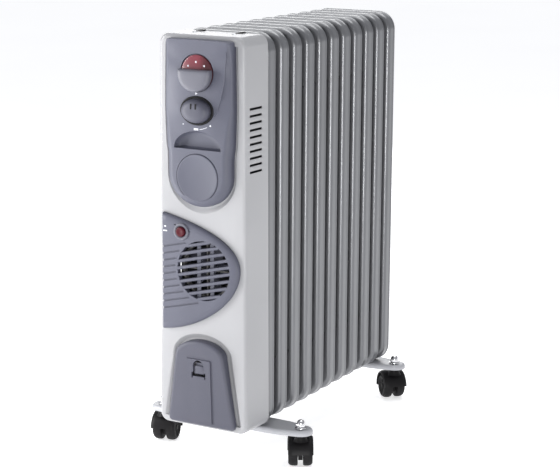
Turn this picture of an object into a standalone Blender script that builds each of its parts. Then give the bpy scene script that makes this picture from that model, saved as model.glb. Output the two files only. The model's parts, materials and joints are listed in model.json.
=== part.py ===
"""Oil filled radiator heater with a fan, built as separate closed solids.

X runs across the heater, Y from the control end to the last fin, Z up from the floor.
Sizes are written in millimetres, and the mesh helpers turn them into metres.
"""
import math

import bmesh
import bpy
from mathutils import Matrix, Vector

MM = 0.001
GAP = 0.3                    # left between pieces that touch

# --- driving dimensions -------------------------------------------------------------------
FIN_COUNT = 11
FIN_PITCH = 39.0
FIN_WIDTH = 148.0
FIN_HEIGHT = 580.0
FIN_CORNER = 27.0
FIN_DEPTH = 18.0             # how far each rim turns back
SHEET = 1.2
FIN_BOTTOM = 62.0            # lowest edge of the fins above the floor
FIRST_FIN_Y = -174.0         # front of the first fin, which centres the heater on the origin

HEADER_INSET = 52.0          # from a fin's end to the centre of its oil header
HEADER_RADIUS = 24.0
HEADER_BORE = 9.0
BOTTOM_HEADER_Z = FIN_BOTTOM + HEADER_INSET

HOUSING_BACK = FIRST_FIN_Y - 2.4
HOUSING_DEPTH = 59.3
HOUSING_FRONT = HOUSING_BACK - HOUSING_DEPTH
HOUSING_BOTTOM = 65.0
HOUSING_TOP = 641.0
HOUSING_HALF_TOP = 70.5
HOUSING_HALF_BOTTOM = 74.5
HOUSING_WALL = 1.5

PANEL_FRONT = HOUSING_FRONT - 12.3
SELECTOR_Z = 589.5
THERMOSTAT_Z = 536.0
TIMER_Z = 440.0
SELECTOR_RADIUS = 26.5
TIMER_RADIUS = 34.0

FAN_X, FAN_Z = 7.0, 304.0
FAN_OPENING = 44.0
BUTTON_X, BUTTON_Z = -29.8, 358.3
SLAT_TILT = math.radians(13.6)

FOOT_TOP = 61.7
FOOT_DEPTH = 8.0
FRONT_FOOT = {"y": FIRST_FIN_Y + 19.0, "reach": 120.0, "bolt": 9.5}
REAR_FOOT = {"y": FIRST_FIN_Y + 395.0, "reach": 92.0, "bolt": -15.5}
WHEEL_RADIUS = 20.0
WHEEL_WIDTH = 14.6
CASTER_TRAIL = 12.0
AXLE_RADIUS = 3.0


# --- materials ------------------------------------------------------------------------------
COLOURS = {
    "housing_white": ((0.78, 0.78, 0.79), 0.35, 0.0),
    "fin_grey": ((0.55, 0.56, 0.58), 0.38, 0.0),
    "panel_grey": ((0.20, 0.21, 0.27), 0.42, 0.0),
    "knob_grey": ((0.24, 0.25, 0.30), 0.35, 0.0),
    "black_plastic": ((0.02, 0.02, 0.022), 0.45, 0.0),
    "red_plastic": ((0.30, 0.01, 0.03), 0.25, 0.0),
    "red_lens": ((0.50, 0.10, 0.14), 0.12, 0.0),
    "cream_plastic": ((0.70, 0.66, 0.55), 0.5, 0.0),
    "mica": ((0.50, 0.42, 0.30), 0.6, 0.0),
    "zinc_steel": ((0.55, 0.56, 0.58), 0.35, 1.0),
    "chrome": ((0.75, 0.75, 0.76), 0.12, 1.0),
    "copper": ((0.60, 0.32, 0.20), 0.35, 1.0),
}


def material(name):
    mat = bpy.data.materials.new(name)
    mat.use_nodes = True
    colour, roughness, metallic = COLOURS[name]
    shader = mat.node_tree.nodes["Principled BSDF"]
    shader.inputs["Base Color"].default_value = (*colour, 1.0)
    shader.inputs["Roughness"].default_value = roughness
    shader.inputs["Metallic"].default_value = metallic
    return mat


# --- outlines, as (x, z) points ---------------------------------------------------------------
def rounded(corners, steps=4):
    """Outline through (x, z, radius) corners, each turned into an arc of its radius."""
    points = []
    count = len(corners)
    for i, (x, z, radius) in enumerate(corners):
        here = Vector((x, z))
        if radius == 0:
            points.append(here)
            continue
        before = (Vector(corners[i - 1][:2]) - here).normalized()
        after = (Vector(corners[(i + 1) % count][:2]) - here).normalized()
        half = before.angle(after) / 2
        reach = radius / math.tan(half)
        centre = here + (before + after).normalized() * radius / math.sin(half)
        start = here + before * reach - centre
        sweep = (here + after * reach - centre).angle_signed(start)
        for k in range(steps + 1):
            turn = Matrix.Rotation(sweep * k / steps, 2)
            points.append(centre + turn @ start)
    return points


def bezier(a, b, c, d, steps):
    """Points along one cubic curve, without its last point."""
    points = []
    for k in range(steps):
        t = k / steps
        s = 1 - t
        points.append(Vector((
            s**3 * a[0] + 3 * s * s * t * b[0] + 3 * s * t * t * c[0] + t**3 * d[0],
            s**3 * a[1] + 3 * s * s * t * b[1] + 3 * s * t * t * c[1] + t**3 * d[1])))
    return points


def circle(x, z, radius, steps, squash=1.0):
    turns = [2 * math.pi * k / steps for k in range(steps)]
    return [Vector((x + radius * math.cos(a), z + squash * radius * math.sin(a))) for a in turns]


def mirrored(half):
    """Whole outline from its +X half, listed from top to bottom."""
    left = [Vector((-p[0], p[1])) for p in reversed(half) if p[0] > 1e-6]
    return [Vector(p) for p in half] + left


def panel_outline():
    half = rounded([(0, 635, 0), (54.4, 635, 4), (56.2, 540, 0), (54.6, 487, 5), (52.2, 477, 5),
                    (52.2, 443, 0), (0, 443, 0)], 3)[:-2]
    arc = [math.radians(8 * k) for k in range(12)]
    half += [Vector((52.2 * math.cos(a), 443 - 46.5 * math.sin(a))) for a in arc[:-1]]
    half.append(Vector((0, 443 - 46.5)))
    return mirrored(half)


def fan_outline():
    tip = (64.5, 308)
    top = bezier((-64, 383), (-10, 372), (64.5, 352), tip, 9)
    return top + bezier(tip, (64.5, 262), (0, 215), (-64, 209), 9) + [Vector((-64, 209))]


def cover_outline():
    half = [Vector((0, 199)), Vector((18, 195.5)), Vector((32, 187.5)), Vector((41, 177))]
    half += rounded([(41, 177, 0), (57.5, 69, 6), (0, 69, 0)], 3)[1:]
    return mirrored(half)


# --- mesh helpers -----------------------------------------------------------------------------
def finish(name, bm, mat, bevel=None, at=(0, 0, 0), yaw=0.0):
    """Store a mesh built in millimetres as an object whose origin is at the given place."""
    bmesh.ops.remove_doubles(bm, verts=bm.verts, dist=0.01)
    bmesh.ops.recalc_face_normals(bm, faces=bm.faces)
    bm.transform(Matrix.Scale(MM, 4))
    mesh = bpy.data.meshes.new(name)
    bm.to_mesh(mesh)
    bm.free()
    obj = bpy.data.objects.new(name, mesh)
    obj.location = [v * MM for v in at]
    obj.rotation_euler = (0, 0, yaw)
    PARTS.objects.link(obj)
    if mat:
        mesh.materials.append(mat)
    if bevel:
        mod = obj.modifiers.new("edge", "BEVEL")
        mod.width = bevel * MM
        mod.segments = 1
        mod.limit_method = "ANGLE"
        mod.angle_limit = math.radians(50)
        bake(obj)
    return obj


def bake(obj):
    """Replace the object's mesh with the result of its modifiers."""
    bpy.context.view_layer.update()
    graph = bpy.context.evaluated_depsgraph_get()
    mesh = bpy.data.meshes.new_from_object(obj.evaluated_get(graph))
    mesh.name = obj.name
    obj.modifiers.clear()
    obj.data = mesh


def boolean(obj, others, operation):
    """Cut away or join on the other objects, which are then removed."""
    for other in others:
        mod = obj.modifiers.new(operation.lower(), "BOOLEAN")
        mod.operation = operation
        mod.object = other
        mod.solver = "EXACT"
    bake(obj)
    for other in others:
        bpy.data.objects.remove(other)
    return obj


def cut(obj, *cutters):
    return boolean(obj, cutters, "DIFFERENCE")


def join(obj, *pieces):
    return boolean(obj, pieces, "UNION")


def box(name, low, high, mat=None, bevel=None):
    low, high = Vector(low), Vector(high)
    bm = bmesh.new()
    size = Matrix.Diagonal((*(high - low), 1))
    bmesh.ops.create_cube(bm, size=1, matrix=Matrix.Translation((low + high) / 2) @ size)
    return finish(name, bm, mat, bevel)


def plate(name, outline, front, back, mat=None, soften=0.0, segments=2, keep_above=None):
    """Outline extruded along Y; its front edge may be rounded, except above a height."""
    bm = bmesh.new()
    face = bm.faces.new([bm.verts.new((p[0], front, p[1])) for p in outline])
    result = bmesh.ops.extrude_face_region(bm, geom=[face])
    moved = [g for g in result["geom"] if isinstance(g, bmesh.types.BMVert)]
    bmesh.ops.translate(bm, verts=moved, vec=(0, back - front, 0))
    bmesh.ops.recalc_face_normals(bm, faces=bm.faces)
    if soften:
        edges = [e for e in bm.edges if all(abs(v.co.y - front) < 0.01 for v in e.verts)]
        if keep_above is not None:
            edges = [e for e in edges if min(v.co.z for v in e.verts) < keep_above]
        bmesh.ops.bevel(bm, geom=edges, offset=soften, segments=segments, profile=0.5,
                        affect="EDGES", clamp_overlap=True)
    return finish(name, bm, mat)


def turned(name, profile, mat=None, centre=(0, 0, 0), axis="Y", steps=20, at=None, yaw=0.0):
    """Solid turned from (radius, distance along the axis) points.

    A profile that starts and ends on the axis makes a solid, any other one a ring.
    """
    bm = bmesh.new()
    verts = [bm.verts.new((r, 0, h)) for r, h in profile]
    edges = [bm.edges.new(pair) for pair in zip(verts, verts[1:])]
    if profile[0][0] > 0:
        edges.append(bm.edges.new((verts[-1], verts[0])))
    bmesh.ops.spin(bm, geom=verts + edges, cent=(0, 0, 0), axis=(0, 0, 1),
                   angle=2 * math.pi, steps=steps, use_duplicate=False)
    bmesh.ops.remove_doubles(bm, verts=bm.verts, dist=0.001)
    turns = {"X": Matrix.Rotation(math.pi / 2, 4, "Y"), "Y": Matrix.Rotation(-math.pi / 2, 4, "X"),
             "Z": Matrix.Identity(4)}
    bm.transform(Matrix.Translation(centre) @ turns[axis])
    return finish(name, bm, mat, at=at or (0, 0, 0), yaw=yaw)


def cylinder(name, radius, low, high, mat=None, centre=(0, 0, 0), axis="Y", steps=20, hole=0.0):
    """Cylinder from low to high along its axis, with an optional hole through it."""
    if hole:
        profile = [(hole, low), (radius, low), (radius, high), (hole, high)]
    else:
        profile = [(0, low), (radius, low), (radius, high), (0, high)]
    return turned(name, profile, mat, centre, axis, steps)


# --- fins -------------------------------------------------------------------------------------
HEADER_REACH = FIN_HEIGHT / 2 - HEADER_INSET
CHANNEL_FRONT, CHANNEL_BACK = -3.5, 8.5


def fin_tray():
    """One stamped fin: a sheet whose rim turns back, with a slot beside the oil channels."""
    half, top = FIN_WIDTH / 2, FIN_HEIGHT / 2
    outline = rounded([(-half, -top, FIN_CORNER), (half, -top, FIN_CORNER),
                       (half, top, FIN_CORNER), (-half, top, FIN_CORNER)], 3)
    tray = plate("tray", outline, 0, FIN_DEPTH, soften=2.5, segments=1)
    inner = [(x * (half - SHEET) / half, z * (top - SHEET) / top) for x, z in outline]
    hollow = plate("hollow", inner, SHEET, FIN_DEPTH + 5)
    slots = []
    for side in (-1, 1):
        inside, outside = side * 55, side * 68
        corners = [(inside, -205), (outside, -205), (outside, 212), (inside, 192)]
        slots.append(plate("slot", corners, -2, 4))
    return cut(tray, hollow, *slots)


def channel_block(name, shrink):
    """The bulge that the oil runs in, with its corners cut off."""
    half, top, corner = 47 - shrink, HEADER_REACH + 36 - shrink, 18
    outline = [(half - corner, top), (half, top - corner), (half, corner - top), (half - corner, -top),
               (corner - half, -top), (-half, corner - top), (-half, top - corner), (corner - half, top)]
    return plate(name, outline, CHANNEL_FRONT + shrink, CHANNEL_BACK - shrink)


def fin_solid(collars):
    """A whole fin; collars holds the front, back, bore start and bore end at the top and bottom."""
    fin = fin_tray()
    join(fin, channel_block("channels", 0),
         *[cylinder("collar", HEADER_RADIUS, front, back, centre=(0, 0, z), steps=12)
           for z, (front, back, *_) in zip((HEADER_REACH, -HEADER_REACH), collars)])
    return cut(fin, channel_block("oil", SHEET),
               *[cylinder("bore", HEADER_BORE, start, end, centre=(0, 0, z), steps=8)
                 for z, (*_, start, end) in zip((HEADER_REACH, -HEADER_REACH), collars)])


def make_fins(mat):
    """Eleven fins whose header collars meet, with the oil space open from fin to fin."""
    ahead = -(FIN_PITCH - FIN_DEPTH - GAP) / 2
    behind = FIN_PITCH + ahead - GAP
    through = (ahead - 5, behind + 5)
    collars = {
        "first": ((-3.8, behind, -2.0, through[1]), (ahead, behind, *through)),
        "middle": ((ahead, behind, *through), (ahead, behind, *through)),
        "last": ((ahead, 15.0, through[0], 12.0), (ahead, 15.0, through[0], 12.0)),
    }
    solids = {}
    for number in range(1, FIN_COUNT + 1):
        kind = {1: "first", FIN_COUNT: "last"}.get(number, "middle")
        name = f"fin_{number:02d}"
        if kind in solids:
            fin = bpy.data.objects.new(name, solids[kind].data.copy())
            PARTS.objects.link(fin)
        else:
            fin = solids[kind] = fin_solid(collars[kind])
            fin.name = name
            fin.data.materials.append(mat)
        fin.location = Vector((0, FIRST_FIN_Y + (number - 1) * FIN_PITCH, FIN_BOTTOM + FIN_HEIGHT / 2)) * MM


# --- housing ----------------------------------------------------------------------------------
def housing_outline(shrink=0.0):
    low, high = HOUSING_HALF_BOTTOM - shrink, HOUSING_HALF_TOP - shrink
    corner = 14.0 - shrink
    return rounded([(-low, HOUSING_BOTTOM + shrink, corner), (low, HOUSING_BOTTOM + shrink, corner),
                    (high, HOUSING_TOP - shrink, corner), (-high, HOUSING_TOP - shrink, corner)], 4)


def widen_back(obj, front, back, extra):
    """Flare the shell towards its open back, by moving each point outwards in X."""
    for vert in obj.data.vertices:
        y = vert.co.y / MM
        vert.co.x *= 1 + extra / HOUSING_HALF_TOP * (y - front) / (back - front)


TOP_SCREW_X = 33.0
TOP_SCREW_Y = HOUSING_FRONT + 35
VENT_ROWS = 10
SHIELD_FRONT = HOUSING_BACK - 3.0


def front_hole(name, x, z, radius, steps=16):
    """Cutter through the front walls."""
    return cylinder(name, radius, HOUSING_FRONT - 30, HOUSING_FRONT + 10, centre=(x, 0, z), steps=steps)


def make_housing(white, steel):
    """The front housing, open at the back and closed there by a steel plate."""
    wall = HOUSING_WALL
    housing = plate("housing", housing_outline(), HOUSING_FRONT, HOUSING_BACK, white, 9.0, 3)
    hollow = plate("hollow", housing_outline(wall), HOUSING_FRONT + wall, HOUSING_BACK + 5, None, 7.5, 2)
    for shell in (housing, hollow):
        widen_back(shell, HOUSING_FRONT, HOUSING_BACK, 3.0)
    openings = [
        front_hole("selector_hole", 0, SELECTOR_Z, 12, 14),
        front_hole("thermostat_hole", 0, THERMOSTAT_Z, 12, 14),
        front_hole("fan_hole", FAN_X, FAN_Z, FAN_OPENING + 1, 28),
        front_hole("button_hole", BUTTON_X, BUTTON_Z, 11, 14),
        box("cord_hole", (-38, HOUSING_FRONT - 9, 82), (38, HOUSING_FRONT + 9, 172)),
    ]
    for x in (-TOP_SCREW_X, TOP_SCREW_X):
        openings.append(cylinder("screw_hole", 3.9, 630, 650, centre=(x, TOP_SCREW_Y, 0), axis="Z", steps=8))
    for row in range(VENT_ROWS):
        low = 450 + 10 * row - 1.2
        openings.append(box("vent", (-90, HOUSING_FRONT + 12, low), (90, HOUSING_FRONT + 43.5, low + 2.4)))
    cut(housing, hollow, *openings)

    shield = plate("heat_shield", housing_outline(wall + GAP), SHIELD_FRONT, SHIELD_FRONT + SHEET, steel)
    cut(shield, cylinder("flange_hole", HEADER_RADIUS + 1, SHIELD_FRONT - 5, SHIELD_FRONT + 5,
                         centre=(0, 0, BOTTOM_HEADER_Z), steps=16))
    top = HOUSING_TOP - 0.4
    for side, x in (("left", -TOP_SCREW_X), ("right", TOP_SCREW_X)):
        profile = [(0, top), (2.6, top), (3.5, top - 1.6), (1.6, top - 3.6), (1.6, top - 18), (0, top - 18)]
        turned(f"top_screw_{side}", profile, steel, centre=(x, TOP_SCREW_Y, 0), axis="Z", steps=8)


# --- control panel ----------------------------------------------------------------------------
def make_panel(mats):
    base = HOUSING_FRONT - GAP
    panel = plate("control_panel", panel_outline(), PANEL_FRONT, base, mats["panel_grey"],
                  9.0, 3, keep_above=600)
    scoop_outline = [(39 * math.cos(math.radians(a)), 480.5 + 26.5 * math.sin(math.radians(a)))
                     for a in range(0, 181, 15)]
    scoop = plate("scoop", scoop_outline, PANEL_FRONT - 2, PANEL_FRONT + 8)
    pockets = [
        box("upper_pocket", (-42, PANEL_FRONT + 5.2, 512), (42, base + 5, 624)),
        box("lower_pocket", (-30, PANEL_FRONT + 5.2, 412), (30, base + 5, 470)),
        cylinder("selector_seat", SELECTOR_RADIUS + 1, PANEL_FRONT - 5, PANEL_FRONT + 2.6,
                 centre=(0, 0, SELECTOR_Z), steps=28),
        front_hole("selector_shaft", 0, SELECTOR_Z, 6, 10),
        front_hole("thermostat_shaft", 0, THERMOSTAT_Z, 6, 10),
        cylinder("timer_seat", TIMER_RADIUS + 0.8, PANEL_FRONT - 5, PANEL_FRONT + 2.6,
                 centre=(0, 0, TIMER_Z), steps=28),
    ]
    cut(panel, scoop, *pockets)

    cylinder("timer_cap", TIMER_RADIUS, PANEL_FRONT - 0.6, PANEL_FRONT + 2.3, mats["panel_grey"],
             centre=(0, 0, TIMER_Z), steps=28)
    cylinder("selector_lens", SELECTOR_RADIUS, PANEL_FRONT - 0.8, PANEL_FRONT + 2.3, mats["red_lens"],
             centre=(0, 0, SELECTOR_Z), steps=28, hole=4.6)
    ring = plate("thermostat_ring", circle(0, THERMOSTAT_Z, 27.2, 28, 0.75), PANEL_FRONT - 1.5,
                 PANEL_FRONT - GAP, mats["black_plastic"])
    cut(ring, front_hole("ring_hole", 0, THERMOSTAT_Z, 4.6, 12))

    lamp = [(0, 0), (3, 0), (3, 12), (1.5, 14), (0, 14)]
    turned("pilot_lamp", lamp, mats["red_lens"], centre=(26, base + 3, SELECTOR_Z + 20), steps=10)
    behind = HOUSING_FRONT + HOUSING_WALL + GAP
    for name, z, half, deep in (("selector_switch", SELECTOR_Z, 20, 30), ("thermostat_body", THERMOSTAT_Z, 18, 34)):
        body = box(name, (-half, behind, z - half), (half, behind + deep, z + half), mats["cream_plastic"])
        cut(body, cylinder("socket", 4.6, behind - 5, behind + 14, centre=(0, 0, z), steps=12))


def knob(name, outline, z, front, back, mat, soften):
    """A domed knob with a shaft, whose origin is on its turning axis."""
    cap = plate(name, outline, front, back, mat, soften, 3)
    join(cap, cylinder("shaft", 4.0, back - 3, HOUSING_FRONT + 13, steps=12))
    cap.location = (0, 0, z * MM)
    return cap


def make_knobs(mats):
    flat = 5.5                   # the dome is cut off this far above its axis
    reach = math.sqrt(SELECTOR_RADIUS**2 - flat**2)
    end = math.atan2(flat, reach)
    turns = [math.pi - end + (math.pi + 2 * end) * k / 20 for k in range(21)]
    dome = [(SELECTOR_RADIUS * math.cos(a), SELECTOR_RADIUS * math.sin(a)) for a in turns]
    knob("selector_knob", dome, SELECTOR_Z, PANEL_FRONT - 13, PANEL_FRONT - 1.2, mats["knob_grey"], 5.0)
    oval = circle(0, 0, 25.0, 24, 0.73)
    knob("thermostat_knob", oval, THERMOSTAT_Z, PANEL_FRONT - 13, PANEL_FRONT - 1.9, mats["knob_grey"], 6.0)


IMPELLER_Y = HOUSING_FRONT + 18.5


# --- fan module -------------------------------------------------------------------------------
def make_fan(mats):
    base = HOUSING_FRONT - GAP
    front = base - 8
    cover = plate("fan_cover", fan_outline(), front, base, mats["panel_grey"], 4.0, 2)
    hole = front_hole("hole", FAN_X, FAN_Z, FAN_OPENING, 32)
    seat = front_hole("seat", BUTTON_X, BUTTON_Z, 10.5, 16)
    pocket = box("pocket", (-56, front + 2.6, 236), (-41, base + 5, 336))
    cut(cover, hole, seat, pocket)
    slats = []
    for row in range(-4, 5):
        offset = 9.9 * row
        half = math.sqrt((FAN_OPENING + 1.5)**2 - offset**2)
        bm = bmesh.new()
        size = Matrix.Diagonal((2 * half, 3.4, 4.2, 1))
        bmesh.ops.create_cube(bm, size=1, matrix=Matrix.Translation((0, 0, offset)) @ size)
        bm.transform(Matrix.Translation((FAN_X, front + 3.0, FAN_Z)) @ Matrix.Rotation(-SLAT_TILT, 4, "Y"))
        slats.append(finish("slat", bm, None))
    for x in (-10.5, 11.4):
        half = FAN_OPENING + 0.5
        slats.append(box("strut", (FAN_X + x - 2.5, front + 4.0, FAN_Z - half + 1),
                         (FAN_X + x + 2.5, base - 0.4, FAN_Z + half - 1)))
    join(cover, *slats)

    bezel_front = front - 2.2
    profile = [(7.6, base + 1.0), (7.6, bezel_front + 0.8), (9.2, bezel_front), (11.5, bezel_front),
               (13, bezel_front + 1.0), (13, front - GAP), (10.2, front - GAP), (10.2, base + 1.0)]
    turned("button_bezel", profile, mats["knob_grey"], centre=(BUTTON_X, 0, BUTTON_Z), steps=16)
    profile = [(0, -5.4), (5.0, -5.0), (7.3, -3.2), (7.3, 9), (4, 9), (4, 16), (0, 16)]
    turned("fan_button", profile, mats["red_plastic"], steps=14, at=(BUTTON_X, front, BUTTON_Z))

    # heater frame, impeller and motor stand one behind the other in the housing
    near, far = HOUSING_FRONT + 2.5, HOUSING_FRONT + 10
    frame = cylinder("fan_heater", 42, near, far, mats["mica"], centre=(FAN_X, 0, FAN_Z), steps=20, hole=39)
    join(frame, box("bar", (FAN_X - 40, near + 0.5, FAN_Z - 1), (FAN_X + 40, far - 0.5, FAN_Z + 1)),
         box("bar", (FAN_X - 1, near + 0.5, FAN_Z - 40), (FAN_X + 1, far - 0.5, FAN_Z + 40)))

    hub = cylinder("fan_impeller", 11, -7, 7, mats["black_plastic"], steps=12, hole=2.09)
    blades = []
    for k in range(5):
        bm = bmesh.new()
        size = Matrix.Diagonal((28, 1.6, 20, 1))
        bmesh.ops.create_cube(bm, size=1, matrix=Matrix.Translation((23.5, 0, 0)) @ size)
        bm.transform(Matrix.Rotation(2 * math.pi * k / 5, 4, "Y") @ Matrix.Rotation(math.radians(32), 4, "X"))
        blades.append(finish("blade", bm, None))
    join(hub, *blades)
    hub.location = (FAN_X * MM, IMPELLER_Y * MM, FAN_Z * MM)

    back = SHIELD_FRONT - 3
    near, far, tip = IMPELLER_Y + 9.5, back - 1, IMPELLER_Y - 4.5
    profile = [(0, tip), (2, tip), (2, near), (17, near), (17, far), (0, far)]
    motor = turned("fan_motor", profile, mats["zinc_steel"], centre=(FAN_X, 0, FAN_Z), steps=16)
    join(motor, box("arm", (FAN_X - 60, back - 2, FAN_Z - 8), (FAN_X + 55, back, FAN_Z + 8)))


# --- cord store -------------------------------------------------------------------------------
COVER_THICK = 11.0
COVER_HINGE = (0.0, HOUSING_FRONT - 4.0, 69.9)


def make_cord_store(mats):
    """A tray behind the housing's lower opening, two posts to wind on, and a drop-down cover."""
    front = HOUSING_FRONT + HOUSING_WALL + GAP
    back = front + 34
    tray = box("cord_tray", (-37.5, front, 82.5), (37.5, back, 171.5), mats["housing_white"])
    cut(tray, box("inside", (-36, front - 5, 84), (36, back - SHEET, 170)))
    join(tray, box("catch", (-9, front, 167), (9, front + 1.5, 170.5)),
         *[box("post", (x - 4, front + 2, 120), (x + 4, back - 0.5, 128)) for x in (-14, 14)])
    cut(tray, cylinder("cord_hole", 5.6, back - 8, back + 8, centre=(24, 0, 96), steps=12))
    near = back - SHEET - GAP
    profile = [(3.4, near - 7.5), (8, near - 7.5), (8, near), (5.3, near), (5.3, near + 6), (3.4, near + 6)]
    turned("cable_gland", profile, mats["black_plastic"], centre=(24, 0, 96), steps=12)

    base = HOUSING_FRONT - GAP
    face = base - COVER_THICK
    cover = plate("cord_cover", cover_outline(), face, base, mats["panel_grey"], 4.0, 2)
    half = [Vector((0, 194))] + rounded([(0, 194, 0), (30, 182, 6), (38, 168, 6), (47.5, 80, 4), (0, 80, 0)], 2)[1:-1]
    hollow = plate("hollow", mirrored(half + [Vector((0, 80))]), face + 3, base + 5)
    turns = [math.radians(20 * k) for k in range(10)]
    grip = plate("grip", [(9 * math.cos(a), 166 + 5 * math.sin(a)) for a in turns], face - 3, base + 5)
    cut(cover, hollow, grip, box("latch_slot", (-7.5, face - 3, 142), (7.5, base + 5, 166.5)))
    move_origin(cover, COVER_HINGE)
    latch = box("cover_latch", (-7.1, face + 0.6, 145.5), (7.1, face + 4.5, 161))
    join(latch, box("stalk", (-5.5, face + 3.5, 152), (5.5, face + 6.5, 166.5)),
         box("hook", (-5.5, face + 4, 163.5), (5.5, front + 5, 166.5)))
    latch.data.materials.append(mats["panel_grey"])


def move_origin(obj, place):
    """Put the object's origin at a place without moving its shape."""
    shift = Vector(place) * MM - obj.location
    obj.data.transform(Matrix.Translation(-shift))
    obj.location += shift


# --- parts inside the housing -------------------------------------------------------------------
def make_inside(mats):
    wall = SHIELD_FRONT - GAP
    box("terminal_block", (-22, wall - 10, 226), (22, wall, 244), mats["cream_plastic"], 1.5)
    cylinder("thermal_cutout", 8, wall - 7, wall, mats["black_plastic"], centre=(45, 0, 600), steps=12)
    box("tilt_switch", (-66, wall - 38, 90), (-44, wall - 14, 118), mats["black_plastic"], 2.0)

    centre = (0, 0, BOTTOM_HEADER_Z)
    mouth = FIRST_FIN_Y - (FIN_PITCH - FIN_DEPTH - GAP) / 2 - GAP
    flange = cylinder("element_flange", 20, mouth - 7, mouth, mats["zinc_steel"], centre, steps=6)
    join(flange, cylinder("neck", 8.2, mouth - 1, mouth + 14, centre=centre, steps=12))
    cut(flange, cylinder("rod_hole", 6.0, mouth - 12, mouth + 20, centre=centre, steps=12))
    rod = cylinder("heating_element", 5.0, mouth - 2, mouth + 385, mats["copper"], centre, steps=8)
    join(rod, cylinder("terminal_head", 5.6, mouth - 11, mouth + 3, centre=centre, steps=10))


# --- feet and casters ---------------------------------------------------------------------------
def foot(name, y, reach, bolt, mat):
    """Dished cross plate with a hole for a caster at each end."""
    length = reach + 19
    half = rounded([(0, 25, 0), (reach - 45, 25, 0), (length, 18, 15), (length, -18, 15),
                    (reach - 45, -25, 0), (0, -25, 0)], 3)
    outline = half + [(-x, v) for x, v in reversed(half) if x > 0.01]
    top = FOOT_TOP
    body = slab(name, outline, y, top - FOOT_DEPTH, top, mat, 2.0, 1)
    inner = [(x * (length - 1.8) / length, v * 23.2 / 25) for x, v in outline]
    hollow = slab("hollow", inner, y, top - FOOT_DEPTH - 5, top - 1.8)
    holes = [cylinder("hole", 4.5, 40, 80, centre=(side * reach, y, 0), axis="Z", steps=10) for side in (-1, 1)]
    holes += [cylinder("bolt_hole", 3.0, 40, 80, centre=(side * U_BOLT_HALF, y + bolt, 0), axis="Z", steps=8)
              for side in (-1, 1)]
    cut(body, hollow, *holes)


def slab(name, outline, y, low, high, mat=None, soften=0.0, segments=1):
    """Outline in X and Y, extruded upwards, with its top edge rounded."""
    bm = bmesh.new()
    face = bm.faces.new([bm.verts.new((p[0], y + p[1], high)) for p in outline])
    result = bmesh.ops.extrude_face_region(bm, geom=[face])
    moved = [g for g in result["geom"] if isinstance(g, bmesh.types.BMVert)]
    bmesh.ops.translate(bm, verts=moved, vec=(0, 0, low - high))
    bmesh.ops.recalc_face_normals(bm, faces=bm.faces)
    if soften:
        edges = [e for e in bm.edges if all(abs(v.co.z - high) < 0.01 for v in e.verts)]
        bmesh.ops.bevel(bm, geom=edges, offset=soften, segments=segments, profile=0.5, affect="EDGES")
    return finish(name, bm, mat)


U_BOLT_HALF = HEADER_RADIUS + 3.2
U_BOLT_RADIUS = 2.5


def u_bolt(name, y, mat):
    """Rod bent over the header between two fins, with its nuts under the foot."""
    top = FIN_BOTTOM + HEADER_INSET
    low = FOOT_TOP - FOOT_DEPTH + 1
    points = [(-U_BOLT_HALF, low), (-U_BOLT_HALF, top)]
    points += [(-U_BOLT_HALF * math.cos(math.radians(a)), top + U_BOLT_HALF * math.sin(math.radians(a)))
               for a in range(30, 180, 30)]
    points += [(U_BOLT_HALF, top), (U_BOLT_HALF, low)]
    curve = bpy.data.curves.new(name, "CURVE")
    curve.dimensions = "3D"
    curve.bevel_depth = U_BOLT_RADIUS * MM
    curve.bevel_resolution = 1
    curve.use_fill_caps = True
    spline = curve.splines.new("POLY")
    spline.points.add(len(points) - 1)
    for point, (x, z) in zip(spline.points, points):
        point.co = (x * MM, y * MM, z * MM, 1)
    wire = bpy.data.objects.new("wire", curve)
    PARTS.objects.link(wire)
    graph = bpy.context.evaluated_depsgraph_get()
    bm = bmesh.new()
    bm.from_mesh(bpy.data.meshes.new_from_object(wire.evaluated_get(graph)))
    bpy.data.objects.remove(wire)
    bm.transform(Matrix.Scale(1 / MM, 4))
    rod = finish(name, bm, mat)
    nuts = [cylinder("nut", 5.5, 55.5, FOOT_TOP - 1.8 - GAP, centre=(side * U_BOLT_HALF, y, 0), axis="Z", steps=6)
            for side in (-1, 1)]
    join(rod, *nuts)


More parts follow.
